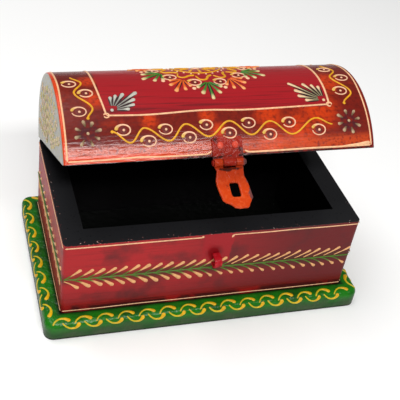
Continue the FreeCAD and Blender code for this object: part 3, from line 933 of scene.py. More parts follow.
@dataclass(frozen=True)
class PlinthLacquer:
    """Varnished green paint on the plinth, rubbed dark along the lower edge, with painted shade in black
    beside the walls.
    """

    half_length: float = BoxSizes.half_length
    half_depth: float = BoxSizes.half_depth
    grain_mm: Point = (42.0, 1.5)
    cloud_mm: float = 14.0
    lump_mm: float = 4.5
    grain_share: float = 0.3
    green: str = "#18700E"
    deep: str = "#144712"
    worn: str = "#3A4A2C"
    black: str = "#050605"

    def material(self) -> bpy.types.Material:
        """Makes the material in the box's own coordinates.

        Returns:
            The material.
        """
        sheet = PaintSheet("green_poster_paint_on_wood_brushed_and_varnished")
        place = sheet.place
        x, y, z = sheet.add("SeparateXYZ", {0: place}).outputs
        along, across = self.grain_mm
        stretch = (pattern_scale(along), pattern_scale(across), pattern_scale(across))
        stretched = sheet.add("Mapping", {"Vector": place, "Scale": stretch})
        textures = []
        for where, scale, detail in ((stretched, 1.0, 4.0), (place, pattern_scale(self.cloud_mm), 4.0),
                                     (place, pattern_scale(self.lump_mm), 2.0)):
            textures.append(sheet.add("TexNoise", {"Vector": where, "Scale": scale, "Detail": detail}))
        grain, cloud, lump = textures
        beside, behind = [sheet.add("Math", {0: size}, operation="ABSOLUTE") for size in (x, y)]
        patterns = {
            "deep": (cloud, 0.42, 0.7, 1.0), "streaks": (grain, 0.5, 0.78, 0.6),
            "rubs": (cloud, 0.34, 0.6, 0.9),
            "low": (z, 10.0 * MM, 4.0 * MM, 1.0), "foot": (z, 1.6 * MM, 0.4 * MM, 0.9),
            "by_end": (beside, (self.half_length + 3.0) * MM, self.half_length * MM, 1.0),
            "by_front": (behind, (self.half_depth + 2.5) * MM, self.half_depth * MM, 1.0)}
        # corner is painted shade: black on the plinth's top beside the foot of the walls
        joins = (("corner", "by_end", "MINIMUM", "by_front"), ("worn", "low", "MULTIPLY", "rubs"))
        coats = (("deep", self.deep), ("low", self.deep), ("worn", self.worn), ("streaks", self.deep),
                 ("foot", self.black), ("corner", self.black))
        colour = sheet.build_up(self.green, coats, patterns, joins=joins)
        height = sheet.add("Math", {0: grain, 1: self.grain_share, 2: lump}, operation="MULTIPLY_ADD")
        # The thickest varnish of the box: its glint along the rounded edge breaks up on the lumps below
        return sheet.finish(colour, height, depth_mm=1.8, Roughness=0.6, IOR=1.5, Specular_IOR_Level=0.04,
                            Coat_Weight=0.42, Coat_Roughness=0.24)


@dataclass(frozen=True)
class IronEnamel:
    """Brush enamel on sheet iron: thick, a little lumpy, rubbed to dark iron along its right side."""

    name: str
    colour: str
    pale: str
    dark: str = "#30100C"
    bare: str = "#4A3A3C"
    # Darker red near the pin: partly dirt, partly painted shade of the lid over the top of the leaf
    pin_shade_and_dirt: str = "#7A1A0A"
    wear_from: float = 1000.0
    pin: Point = (1000.0, 0.0)
    root_mm: float = 4.0
    patch_mm: float = 5.5
    lump_mm: float = 2.2
    ragged_mm: float = 7.0
    grime_mm: float = -9.0
    darkening: Point = (0.5, 0.72)

    def material(self) -> bpy.types.Material:
        """Makes the material, with bare iron where the sheet's right side is rubbed.

        Returns:
            The material.
        """
        sheet = PaintSheet(f"{self.name}_enamel_brushed_on_sheet_iron")
        x, y, z = sheet.add("SeparateXYZ", {0: sheet.place}).outputs
        textures = []
        for size, detail in ((self.patch_mm, 3.0), (self.lump_mm, 2.0)):
            mottle = {"Vector": sheet.place, "Scale": pattern_scale(size), "Detail": detail}
            textures.append(sheet.add("TexNoise", mottle))
        patch, lump = textures
        across = sheet.add("CombineXYZ", {1: y, 2: z})
        pin = (0.0, self.pin[0] * MM, self.pin[1] * MM)
        pin_gap = sheet.add("VectorMath", {0: across, 1: pin}, operation="DISTANCE").outputs["Value"]
        off_root = sheet.add("Math", {0: pin_gap, 1: self.root_mm * MM}, operation="SUBTRACT")
        near_root = sheet.add("Math", {0: off_root}, operation="ABSOLUTE")
        strayed = []
        for reach, size in ((self.ragged_mm, x), (self.grime_mm, near_root)):
            strayed.append(sheet.add("Math", {0: patch, 1: reach * MM, 2: size}, operation="MULTIPLY_ADD"))
        ragged, grime = strayed
        wear = self.wear_from * MM
        # Near the pin the enamel turns darker red, partly dirt and partly painted shade of the lid over the
        # leaf's top
        patterns = {
            "lumps": (lump, 0.5, 0.72, 0.6), "shade_and_dirt_by_pin": (pin_gap, 19.0 * MM, 8.0 * MM, 0.55),
            "blotches": (patch, *self.darkening, 0.9), "rubbed": (ragged, wear, wear + 0.9 * MM, 0.85),
            "grime": (grime, -4.0 * MM, -4.9 * MM, 0.9)}
        coats = (("lumps", self.pale), ("shade_and_dirt_by_pin", self.pin_shade_and_dirt), ("blotches", self.dark), ("rubbed", self.bare),
                 ("grime", self.dark))
        colour = sheet.build_up(self.colour, coats, patterns)
        # Enamel pools and skins over, so the gloss breaks up on its lumps
        return sheet.finish(colour, lump, depth_mm=1.0, Roughness=0.55, IOR=1.52, Specular_IOR_Level=0.06,
                            Coat_Weight=0.16, Coat_Roughness=0.2)


@dataclass(frozen=True)
class PlainFinish:
    """A plain even finish, for wire nails that no view shows and for the studio's floor."""

    name: str
    colour: str
    roughness: float
    metallic: float = 0.0
    speckle_mm: float = 1.5
    speckle: float = 0.06

    def material(self) -> bpy.types.Material:
        """Makes the material with a faint speckle.

        Returns:
            The material.
        """
        sheet = PaintSheet(self.name)
        fleck = sheet.add("TexNoise", {"Vector": sheet.place, "Scale": pattern_scale(self.speckle_mm)})
        shade = sheet.add("MapRange", {"Value": fleck, "To Min": 1 - self.speckle, "To Max": 1.0})
        shaded = {SHARE: 1.0, BELOW: linear(self.colour), ABOVE: shade}
        colour = sheet.add("Mix", shaded, data_type="RGBA", blend_type="MULTIPLY").outputs[MIXED]
        # Drawn wire and paper are even to the eye, with a faint grit and no varnish
        return sheet.finish(colour, fleck, depth_mm=0.02, Roughness=self.roughness, Metallic=self.metallic)


class Palette:
    """Materials of the raised paints and of the nails, made once."""

    def __init__(self) -> None:
        """Mixes every raised paint of the box."""
        self.garland = StrokePaint("green_to_cream", "#4C7A20", "#E8AC72").material()
        self.cream = StrokePaint("cream", "#E8AC78", "#F0BB8E").material()
        self.ring = StrokePaint("yellow_to_cream", "#DDB04A", "#F0BE98").material()
        self.yellow = StrokePaint("amber", "#D8930C", "#DFA01A").material()
        self.chain = StrokePaint("deep_yellow", "#D2B81E", "#E2AE0E").material()
        self.leaf = StrokePaint("leaf_green", "#3E7A24", "#DCC28C").material()
        self.flame = StrokePaint("orange", "#DE611A", "#EFA262").material()
        self.ash = StrokePaint("ash_white", "#8F8D84", "#BDBBAE").material()
        self.straw = StrokePaint("straw", "#8C8560", "#E0BF94").material()
        self.petal = StrokePaint("olive_to_straw", "#6A5236", "#B89C78").material()
        self.olive = StrokePaint("olive", "#9C9048", "#D6C684").material()
        self.rose = StrokePaint("dusty_rose", "#BC947C", "#E0C4A4").material()
        self.blot = StrokePaint("brown_black", "#2C1014", "#2C1014", roughness=0.5).material()
        self.hollow = StrokePaint("dark_maroon", "#67160E", "#67160E", roughness=0.45).material()
        self.steel = PlainFinish("drawn_steel_wire", "#8A8782", 0.42, metallic=1.0).material()


def dress(nodes: Sequence[str], material: bpy.types.Material, slot: Slot) -> None:
    """Gives CAD nodes their finish.

    Args:
        nodes: Names of the nodes.
        material: Their finish.
        slot: Not used.
    """
    for name in nodes:
        node = frame["nodes"][name]
        node.data.materials.clear()
        node.data.materials.append(material)
        log.info("%s: %s", name, material.name)


# Sub-assemblies


@dataclass(frozen=True)
class LeafStroke:
    """One kind of a garland's strokes: its reach and bend from the stem, and its full and its thin brush."""

    lean: float
    rise: float
    spread: Point
    bend: Path
    brush: Brush
    thin_brush: Brush
    shift: float = 0.0
    thin_lead: float = 0.0
    let_go: float = 0.0


@dataclass
class Garland:
    """A stem with strokes that lean along it on both sides, green at the stem and cream at their tips.

    The strokes above it are nearly straight, and let go of it where they are thin. Those below are bent.
    """

    start: Point
    end: Point
    thin_from: float = math.inf
    gap: float = 7.45
    jitter: float = 0.5
    sway: float = 0.25
    sway_steps: int = 8
    fewest_points: int = 8
    stem_brush: Brush = Brush(0.4, 0.48, 0.4, 0.5, ALL_START)
    upper: LeafStroke = LeafStroke(
        lean=11.2, rise=7.8, spread=(0.9, 1.06), bend=((0.0, 0.0), (0.5, 0.46), (1.0, 1.0)),
        brush=Brush(0.24, 0.62, 1.65, 0.5, (0.34, 0.5)),
        thin_brush=Brush(0.28, 0.5, 1.2, 0.45, belly_at=0.55), let_go=1.2)
    lower: LeafStroke = LeafStroke(
        lean=14.4, rise=-8.0, spread=(0.92, 1.06), bend=((0.0, 0.0), (0.3, 0.13), (0.62, 0.45), (1.0, 1.0)),
        brush=Brush(0.24, 0.6, 1.7, 0.5, (0.44, 0.58)),
        thin_brush=Brush(0.35, 0.5, 1.45, 0.45, (0.6, 0.76), belly_at=0.75), shift=0.4, thin_lead=25.0)

    def stem_at(self, along: float) -> float:
        """Height of the stem at a place along it."""
        (x0, y0), (x1, y1) = self.start, self.end
        return y0 + (y1 - y0) * (along - x0) / (x1 - x0)

    def draw(self, relief: Relief) -> None:
        """Lays the strokes and then the stem.

        Args:
            relief: Relief that takes them.
        """
        first, length = self.start[0], self.end[0] - self.start[0]
        for number in range(-1, int(length / self.gap) + 1):
            root = first + number * self.gap + relief.hand.uniform(-self.jitter, self.jitter)
            for leaf in (self.upper, self.lower):
                self.lay(relief, leaf, root + leaf.shift * self.gap)
        places = [first + length * step / self.sway_steps for step in range(self.sway_steps + 1)]
        stem = [(place, self.stem_at(place) + relief.hand.uniform(-self.sway, self.sway)) for place in places]
        relief.stroke(curve_through(stem), self.stem_brush)

    def lay(self, relief: Relief, leaf: LeafStroke, root: float) -> None:
        """Lays the part of a stroke that is on the wall, and leaves out one that loses its tip.

        Args:
            relief: Relief that takes the stroke.
            leaf: Kind of the stroke.
            root: Place along the stem that it starts from.
        """
        thin = root > self.thin_from - leaf.thin_lead
        off = leaf.let_go if thin else 0.0
        rise = leaf.rise * relief.hand.uniform(*leaf.spread)
        bend = [(root + leaf.lean * share, off + (rise - off) * height) for share, height in leaf.bend]
        whole = curve_through([(place, self.stem_at(place) + height) for place, height in bend])
        kept = [point for point in whole if point[0] > self.start[0]]
        if whole[-1][0] > self.end[0] or len(kept) < self.fewest_points:
            return
        brush = leaf.thin_brush if thin else leaf.brush
        relief.stroke(kept, brush if len(kept) == len(whole) else replace(brush, tone=ALL_TIP))


@dataclass
class Carcass:
    """Plinth and walls with their painted garlands, lines and edge chain."""

    palette: Palette
    half_length: float = BoxSizes.half_length
    half_depth: float = BoxSizes.half_depth
    plinth_top: float = BoxSizes.plinth_top
    wall_top: float = BoxSizes.wall_top
    margin_end: float = 11.0
    margin_front: float = 10.0
    stem: Point = (43.4, 41.8)
    stem_insets: Point = (0.9, 1.2)
    front_thin_from: float = 8.0
    line_ends: Point = (1.0, 1.2)
    line_inset: float = 2.3
    foot_inset: float = 1.6
    line_break: Point = (-11.0, 9.5)
    top_half: float = 0.46
    foot_half: float = 0.36
    line_rise: float = 0.3
    line_swell: Point = (1.1, 0.95)
    line_sway: float = 0.25
    sway_gap: float = 22.0
    fewest_sways: int = 3
    blob_up: float = 0.3
    blob: Point = (0.9, 0.4)
    tail: Path = ((0.6, 0.2), (-0.6, -2.0))
    tail_brush: Brush = Brush(0.9, 0.85, 0.4, 0.4)
    link: float = 14.6
    chain_inset: float = 5.0
    hook_swell: Point = (0.9, 1.08)
    hook_brush: Brush = Brush(0.5, 0.8, 1.7, 0.55, (0.4, 0.85), belly_at=0.6)
    upper_hook: Path = ((0.0, -0.1), (0.12, 2.5), (0.32, 4.5), (0.52, 4.6), (0.7, 3.4), (0.8, 1.9))
    lower_hook: Path = ((0.44, 0.9), (0.58, -1.3), (0.78, -3.1), (1.0, -3.3), (1.15, -1.7), (1.22, 0.4))

    def build(self) -> None:
        """Dresses the carcass and paints its four sides and the plinth's edges."""
        dress(("front_wall", "back_wall", "left_wall", "right_wall"), WallLacquer().material(), Slot.RED)
        dress(("plinth",), PlinthLacquer().material(), Slot.GREEN)
        dress(("corner_nails", "plinth_nails"), self.palette.steel, Slot.NAIL)
        walls = (self.half_length, self.half_depth)
        for number, side in enumerate(Side):
            half, reach = walls if side.right.x else reversed(walls)
            self.paint_wall(side, FlatFace(side.outward * reach, side.right), half, number)
        board = (self.half_length + self.margin_end, self.half_depth + self.margin_front)
        for number, side in enumerate(Side):
            half, reach = board if side.right.x else reversed(board)
            corner = side.outward * reach + UP * self.plinth_top
            self.paint_edge(side, RoundedEdge(corner, side.right, side.outward), half, number)

    def paint_wall(self, side: Side, face: Face, half: float, number: int) -> None:
        """Paints the garland and the two lines of one wall.

        Args:
            side: Side of the box.
            face: Outside of the wall.
            half: Half its length.
            number: Number of the wall.
        """
        garland = Relief(face, Seed.WALLS + number)
        stem = Garland((self.stem_insets[0] - half, self.stem[0]), (half - self.stem_insets[1], self.stem[1]))
        if side is Side.FRONT:
            stem.thin_from = self.front_thin_from
        stem.draw(garland)
        garland.build(f"{side.word}_garland", Body.BOX, Slot.RED, self.palette.garland)
        lines = Relief(face, Seed.WALL_LINES + number)
        high, low = self.wall_top - self.line_inset, self.plinth_top + self.foot_inset
        start, end = self.line_ends[0] - half, half - self.line_ends[1]
        left, right = self.line_break
        runs = [(start, end, low, self.foot_half), (start, end, high, self.top_half)]
        if side is Side.FRONT:
            runs[1:] = [(start, left, high, self.top_half), (right, end, high, self.top_half)]
        for first, last, level, thick in runs:
            count = max(self.fewest_sways, int((last - first) / self.sway_gap))
            wander = lines.wander(first, last, level, self.line_sway, count)
            belly, tip = (share * thick for share in self.line_swell)
            lines.stroke(curve_through(wander), Brush(thick, belly, tip, self.line_rise))
        if side is Side.FRONT:
            lines.dot((left, high + self.blob_up), *self.blob)
            lines.stroke([(right + along, high + up) for along, up in self.tail], self.tail_brush)
        lines.build(f"{side.word}_wall_lines", Body.BOX, Slot.RED, self.palette.cream)

    def paint_edge(self, side: Side, face: Face, half: float, number: int) -> None:
        """Paints the chain of hooks over one edge of the plinth.

        Args:
            side: Side of the plinth.
            face: Rounded edge.
            half: Half its length.
            number: Number of the edge.
        """
        chain = Relief(face, Seed.PLINTH_EDGES + number)
        span = 2 * (half - self.chain_inset)
        count = round(span / self.link)
        step = span / count
        for link in range(count):
            start = self.chain_inset - half + link * step
            hooks = (self.upper_hook, self.lower_hook) if link < count - 1 else (self.upper_hook,)
            for hook in hooks:
                swell = chain.hand.uniform(*self.hook_swell)
                path = [(start + step * share, swell * up) for share, up in hook]
                chain.stroke(curve_through(path), self.hook_brush)
        chain.build(f"{side.word}_plinth_chain", Body.BOX, Slot.GREEN, self.palette.chain)


@dataclass
class LidMotif(ABC):
    """A motif that is painted on the lid."""

    palette: Palette
    barrel: BarrelFace

    @abstractmethod
    def paint(self) -> None:
        """Paints the motif and keeps its pieces."""

    def to_back(self, path: Path) -> list[Point]:
        """The same drawing on the back half of the lid."""
        return [(along, self.barrel.arc - up) for along, up in path]

    def keep(self, relief: Relief, name: str, material: bpy.types.Material) -> None:
        """Builds a relief as a piece of the lid."""
        relief.build(f"lid_{name}", Body.LID, Slot.LID, material)


@dataclass
class PanelOutline(LidMotif):
    """Outline of the lid's panel, with a loop in each corner."""

    front: Path = ((-72.0, 29.2), (-46.0, 28.6), (-12.0, 30.1), (18.5, 29.2), (73.0, 30.6))
    bulges: Point = (-75.4, 74.0)
    climb: Point = (45.0, 62.0)
    brush: Brush = Brush(0.7, 0.75, 0.7, 0.4)
    loop_size: Point = (1.7, 1.5)
    loop_starts: Point = (200, -20)
    loop_sweep: float = 330
    loop_brush: Brush = Brush(0.5, 0.6, 0.5, 0.4)

    def paint(self) -> None:
        """Paints the long sides with their loops, and then the short sides over the crest."""
        outline = Relief(self.barrel, Seed.PANEL_OUTLINE)
        for path in (self.front, self.to_back(self.front)):
            outline.stroke(curve_through(path), self.brush)
            for corner, turn in zip((path[0], path[-1]), self.loop_starts):
                outline.stroke(arc_about(corner, *self.loop_size, turn, self.loop_sweep), self.loop_brush)
        low, high = self.climb
        for bulge, corner in zip(self.bulges, (self.front[0], self.front[-1])):
            climb = [corner, ((corner[0] + 2 * bulge) / 3, low), (bulge, high)]
            crest = (bulge, self.barrel.arc / 2)
            outline.stroke(curve_through([*climb, crest, *reversed(self.to_back(climb))]), self.brush)
        self.keep(outline, "panel_outline", self.palette.cream)


@dataclass
class EdgeLines(LidMotif):
    """Lines along the lid's edges, with a curl on each side of the hasp and a smear in one corner."""

    end: float = 97.6
    end_inset: float = 2.0
    end_sways: int = 9
    rim: float = 2.2
    rim_break: Point = (-15.0, 16.0)
    left_curl: Path = ((-12.4, 2.4), (-10.8, 3.1), (-9.9, 4.1))
    right_curl: Path = ((11.4, 3.5), (12.6, 2.5))
    brush: Brush = Brush(0.55, 0.6, 0.55, 0.35)
    sway: float = 0.3
    sway_gap: float = 20.0
    fewest_sways: int = 4
    smear: Path = ((78.0, 2.2), (88.0, 2.6), (97.0, 3.6))
    smear_brush: Brush = Brush(0.5, 1.0, 1.3, 0.35)

    def paint(self) -> None:
        """Paints the lines over the two ends, along the front rim and along the back rim."""
        edges = Relief(self.barrel, Seed.EDGE_LINES)
        arc, end = self.barrel.arc, self.end
        for place in (-end, end):
            wander = edges.wander(self.end_inset, arc - self.end_inset, place, self.sway, self.end_sways)
            edges.stroke(curve_through(swapped(wander)), self.brush)
        runs = (((), -end, self.rim_break[0], self.rim, self.left_curl),
                (self.right_curl, self.rim_break[1], end, self.rim, ()),
                ((), -end, end, arc - self.rim, ()))
        for before, first, last, level, after in runs:
            count = max(self.fewest_sways, int((last - first) / self.sway_gap))
            wander = edges.wander(first, last, level, self.sway, count)
            edges.stroke(curve_through([*before, *wander, *after]), self.brush)
        edges.stroke(curve_through(self.smear), self.smear_brush)
        self.keep(edges, "edge_lines", self.palette.cream)


@dataclass(frozen=True)
class Ring:
    """A ring that starts broad and thins as it turns, with a dot in its dark middle."""

    size: Point = (4.3, 3.3)
    spread: Point = (0.94, 1.06)
    starts: Point = (155, 190)
    sweep: float = -342
    brush: Brush = Brush(1.3, 0.55, 0.38, 0.42, (0.02, 0.22), belly_at=0.22)
    hollow_share: float = 0.92
    hollow_rise: float = 0.05
    dot_offset: Point = (0.3, -0.1)
    dot: Point = (0.88, 0.5)

    def lay(self, rings: Relief, hollows: Relief, middle: Point) -> None:
        """Lays the ring.

        Args:
            rings: Relief of the ring's paint.
            hollows: Relief of the dark paint within it.
            middle: Middle of the ring.
        """
        wide, high = (size * rings.hand.uniform(*self.spread) for size in self.size)
        start = rings.hand.uniform(*self.starts)
        hollows.dot(middle, high * self.hollow_share, self.hollow_rise)
        rings.stroke(arc_about(middle, wide, high, start, self.sweep), self.brush)
        rings.dot((middle[0] + self.dot_offset[0], middle[1] + self.dot_offset[1]), *self.dot)


@dataclass
class BorderVines(LidMotif):
    """Vines of the lid's border, with rings in their bends."""

    vine: Path = (
        (-70.0, 18.5), (-59.5, 11.3), (-50.5, 20.0), (-35.5, 11.3), (-24.5, 21.3), (-10.5, 12.7), (3.5, 22.0),
        (17.0, 12.5), (30.0, 20.7), (44.0, 11.6), (61.5, 21.3), (72.5, 16.7))
    rings: Path = (
        (-63.2, 19.4), (-48.5, 11.8), (-37.4, 18.6), (-23.1, 12.8), (-11.6, 20.2), (2.5, 14.3), (15.8, 20.2),
        (29.0, 12.2), (42.8, 19.4), (62.3, 13.6))
    left_vine: Path = ((-83.2, 27.8), (-79.6, 34.4), (-88.8, 47.6), (-83.0, 57.6), (-88.5, 66.0))
    left_rings: Path = ((-88.0, 32.6), (-81.9, 46.9), (-90.6, 56.8))
    right_vine: Path = ((83.8, 31.0), (91.3, 39.6), (82.4, 55.0), (88.6, 64.0), (84.0, 76.0))
    right_rings: Path = ((84.2, 41.2), (90.1, 54.3), (82.9, 66.5))
    brush: Brush = Brush(0.6, 0.65, 0.55, 0.4)
    root_dot: Point = (1.05, 0.45)
    ring: Ring = Ring()

    def paint(self) -> None:
        """Paints the vines of the front, the ends and the back."""
        vines, hollows = Relief(self.barrel, Seed.VINES), Relief(self.barrel, Seed.RING_HOLLOWS)
        rings = Relief(PlatedBarrel(), Seed.RINGS)
        bands = ((wave_through(self.vine), self.rings),
                 (swapped(wave_through(swapped(self.left_vine))), self.left_rings),
                 (swapped(wave_through(swapped(self.right_vine))), self.right_rings))
        for path, middles in bands:
            for line, places in ((path, middles), (self.to_back(path), self.to_back(middles))):
                vines.stroke(line, self.brush)
                vines.dot(line[0], *self.root_dot)
                for middle in places:
                    self.ring.lay(rings, hollows, middle)
        self.keep(hollows, "ring_hollows", self.palette.hollow)
        self.keep(vines, "vines", self.palette.yellow)
        self.keep(rings, "rings", self.palette.ring)


@dataclass
class StarFlowers(LidMotif):
    """Flowers of separate petals in the four corners of the lid's border."""

    middles: Path = ((-84.4, 18.2), (84.1, 18.4))
    petals: int = 8
    radii: tuple[float, float, float] = (4.3, 6.5, 8.4)
    spread: Point = (0.92, 1.08)
    first_turn: float = 0.3
    sway: float = 7
    brush: Brush = Brush(0.45, 0.95, 1.3, 0.45, (0.2, 0.9))
    dot: Point = (1.0, 0.45)

    def paint(self) -> None:
        """Paints the four flowers."""
        petals = Relief(self.barrel, Seed.STAR_PETALS)
        inner, belly, tip = self.radii
        for middle in (*self.middles, *self.to_back(self.middles)):
            for number in range(self.petals):
                stray = petals.hand.uniform(-self.sway, self.sway)
                turn = 360 * (number + self.first_turn) / self.petals + stray
                reach = tip * petals.hand.uniform(*self.spread)
                petals.stroke([polar(middle, radius, turn) for radius in (inner, belly, reach)], self.brush)
            petals.dot(middle, *self.dot)
        self.keep(petals, "star_petals", self.palette.petal)


@dataclass
class CornerSprays(LidMotif):
    """Sprays in the corners of the lid's panel, given by the directions and lengths of their strokes."""

    roots: Path = ((-68.1, 32.8), (70.2, 34.0))
    strokes: Path = (
        (2.0, 11.0), (14.0, 15.0), (27.0, 17.2), (38.0, 22.0), (55.0, 15.6), (71.0, 12.4), (88.0, 10.4))
    right_stretch: float = 1.17
    root_gap: float = 1.9
    root_share: float = 0.1
    belly_share: float = 0.6
    brush: Brush = Brush(0.3, 0.6, 1.5, 0.45, (0.3, 0.75), belly_at=0.55)
    blot_brush: Brush = Brush(1.2, 2.0, 2.0, 0.06)
    dot: Point = (1.1, 0.45)

    def paint(self) -> None:
        """Paints the sprays of both sides, front and back, and the dark blots below them."""
        blots = Relief(self.barrel, Seed.SPRAY_BLOTS)
        sprays = ((Side.LEFT, 1.0, Seed.LEFT_SPRAYS, self.palette.ash),
                  (Side.RIGHT, self.right_stretch, Seed.RIGHT_SPRAYS, self.palette.straw))
        for root, (side, stretch, seed, material) in zip(self.roots, sprays):
            relief = Relief(self.barrel, seed)
            for mirrored in (False, True):
                for turn, length in self.strokes:
                    reach = length * stretch
                    distances = (self.root_gap + self.root_share * reach, self.belly_share * reach, reach)
                    steps = [polar((0.0, 0.0), distance, turn) for distance in distances]
                    path = [(root[0] - side.outward.x * along, root[1] + up) for along, up in steps]
                    path = self.to_back(path) if mirrored else path
                    relief.stroke(path, self.brush)
                    blots.stroke(path, self.blot_brush)
                relief.dot(self.to_back([root])[0] if mirrored else root, *self.dot)
            self.keep(relief, f"{side.word}_sprays", material)
        self.keep(blots, "spray_blots", self.palette.blot)


@dataclass
class CentreFlower(LidMotif):
    """Round flower over the lid's crest: scrolls, rings, dots and leaf fans, a little longer than deep."""

    x: float = -3.0
    stretch: float = 1.14
    fans: int = 12
    fan_root: float = 26.5
    fan_steps: int = 2
    fan_lean: float = 26
    fan_shrink: float = 0.19
    # Distance, share of the length and turn back towards the fan's middle, from the root to the tip
    fan_bend: tuple[tuple[float, float, float], ...] = ((1.6, 0.0, 6), (0.0, 0.55, 3), (0.0, 1.0, 0))
    fan_brush: Brush = Brush(0.4, 0.8, 1.6, 0.5, (0.66, 0.92), belly_at=0.55)
    fan_blot: Brush = Brush(1.2, 1.9, 1.9, 0.06)
    green_reach: float = 17.5
    orange_reach: float = 15.5
    hook: Path = ((20.0, -14.0), (24.5, -8.0), (24.5, 0.0), (20.5, 6.0), (19.0, 14.0))
    hook_brush: Brush = Brush(0.5, 0.8, 1.1, 0.45)
    spoke: Point = (5.0, 12.5)
    spoke_brush: Brush = Brush(0.4, 0.8, 1.4, 0.45)
    ring: Ring = Ring()
    ring_at: float = 28.5
    outer_dot_at: float = 35.0
    outer_dot: Point = (1.4, 0.5)
    inner_dot_at: float = 16.6
    inner_dot_turns: Point = (-7.5, 7.5)
    inner_dot: Point = (0.75, 0.4)
    hub: float = 14.6
    hub_steps: int = 80
    hub_brush: Brush = Brush(0.6, 0.6, 0.6, 0.4)
    hub_dot: Point = (3.4, 0.6)

    def place(self, radius: float, degrees: float) -> Point:
        """Place in the flower at a distance and an angle from its middle."""
        along, up = polar((0.0, self.barrel.arc / 2), radius, degrees)
        return self.x + self.stretch * along, up

    def paint(self) -> None:
        """Paints the flower, green and orange fans in turn."""
        paints = self.palette
        coats = (("blots", Seed.CENTRE_BLOTS, paints.blot), ("hollows", Seed.CENTRE_HOLLOWS, paints.hollow),
                 ("green_leaves", Seed.GREEN_LEAVES, paints.leaf),
                 ("orange_leaves", Seed.ORANGE_LEAVES, paints.flame),
                 ("scrolls", Seed.SCROLLS, paints.yellow), ("rings", Seed.CENTRE_RINGS, paints.ring))
        reliefs = [Relief(self.barrel, seed) for _, seed, _ in coats]
        blots, hollows, green, orange, scrolls, rings = reliefs
        fans = ((green, self.green_reach), (orange, self.orange_reach))
        for number in range(self.fans):
            turn = -90 + 360 * number / self.fans
            leaves, reach = fans[number % 2]
            self.leaf_fan(leaves, blots, turn, reach)
            between = turn + 180 / self.fans
            self.ring.lay(rings, hollows, self.place(self.ring_at, between))
            rings.dot(self.place(self.outer_dot_at, between), *self.outer_dot)
            curl = [self.place(radius, turn + offset) for radius, offset in self.hook]
            scrolls.stroke(curve_through(curl), self.hook_brush)
            for offset in self.inner_dot_turns:
                rings.dot(self.place(self.inner_dot_at, turn + offset), *self.inner_dot)
            scrolls.stroke([self.place(radius, turn) for radius in self.spoke], self.spoke_brush)
        middle = (self.x, self.barrel.arc / 2)
        circle = arc_about(middle, self.hub * self.stretch, self.hub, 0, 360, self.hub_steps)
        scrolls.stroke(circle, self.hub_brush)
        rings.dot(middle, *self.hub_dot)
        for relief, (word, _, material) in zip(reliefs, coats):
            self.keep(relief, f"centre_{word}", material)

    def leaf_fan(self, fan: Relief, blots: Relief, turn: float, reach: float) -> None:
        """Lays a fan of strokes that points away from the middle of the flower.

        Args:
            fan: Relief of the fan's paint.
            blots: Relief of the dark paint below it.
            turn: Direction of the fan in degrees.
            reach: Length of its longest stroke.
        """
        root = self.place(self.fan_root, turn)
        for step in range(-self.fan_steps, self.fan_steps + 1):
            lean = turn + step * self.fan_lean
            length = reach * (1 - self.fan_shrink * abs(step))
            path = curve_through([polar(root, distance + length * share, lean - step * back)
                                  for distance, share, back in self.fan_bend])
            fan.stroke(path, self.fan_brush)
            if step % 2 == 0:
                blots.stroke(path, self.fan_blot)


@dataclass
class EndBushes(LidMotif):
    """Bushes of leaf dabs that fill the two ends of the lid."""

    branches: int = 11
    first_turn: float = 12
    turn_gap: float = 15.6
    leaves: int = 8
    first_leaf: float = 7.0
    leaf_gap: float = 5.2
    leans: Point = (-26, 26)
    sway: float = 8
    spread: Point = (0.9, 1.1)
    brush: Brush = Brush(0.5, 1.1, 1.4, 0.4, (0.1, 0.7))
    root_up: float = 3.0
    floor: float = 1.0
    inset: float = 8.5

    def paint(self) -> None:
        """Paints the left end and the right end."""
        for side in (Side.LEFT, Side.RIGHT):
            self.paint_end(side, int(side.outward.x))

    def paint_end(self, side: Side, hand: int) -> None:
        """Paints one end in two coats, whose dabs take turns.

        Args:
            side: Left or right end.
            hand: -1 for the left end and 1 for the right one.
        """
        face = LidEndFace(self.barrel, hand)
        coats = (("olive", Relief(face, Seed.OLIVE_DABS + hand), self.palette.olive),
                 ("rose", Relief(face, Seed.ROSE_DABS + hand), self.palette.rose))
        root = (0.0, self.barrel.rim_height + self.root_up)
        for branch in range(self.branches):
            turn = self.first_turn + self.turn_gap * branch
            for leaf in range(self.leaves):
                spot = polar(root, self.first_leaf + self.leaf_gap * leaf, turn)
                past_arc = math.hypot(*spot) > self.barrel.radius - self.inset
                if past_arc or spot[1] < root[1] + self.floor:
                    continue
                relief = coats[(branch + leaf) % 2][1]
                for lean in self.leans:
                    heading = turn + lean + relief.hand.uniform(-self.sway, self.sway)
                    tip = polar(spot, self.leaf_gap * relief.hand.uniform(*self.spread), heading)
                    relief.stroke([spot, tip], self.brush)
        for coat, relief, material in coats:
            self.keep(relief, f"{side.word}_end_{coat}_leaves", material)


@dataclass
class Lid:
    """Barrel lid with its painted motifs."""

    palette: Palette
    barrel: BarrelFace = BarrelFace()
    motifs: tuple[type[LidMotif], ...] = (
        PanelOutline, EdgeLines, BorderVines, StarFlowers, CornerSprays, CentreFlower, EndBushes)

    def build(self) -> None:
        """Dresses the lid and paints its motifs in order."""
        boards = [name for name in frame["nodes"] if name.startswith("lid_")]
        dress(boards, LidLacquer(self.barrel).material(), Slot.LID)
        dress(("stave_nails",), self.palette.steel, Slot.NAIL)
        for motif in self.motifs:
            motif(self.palette, self.barrel).paint()


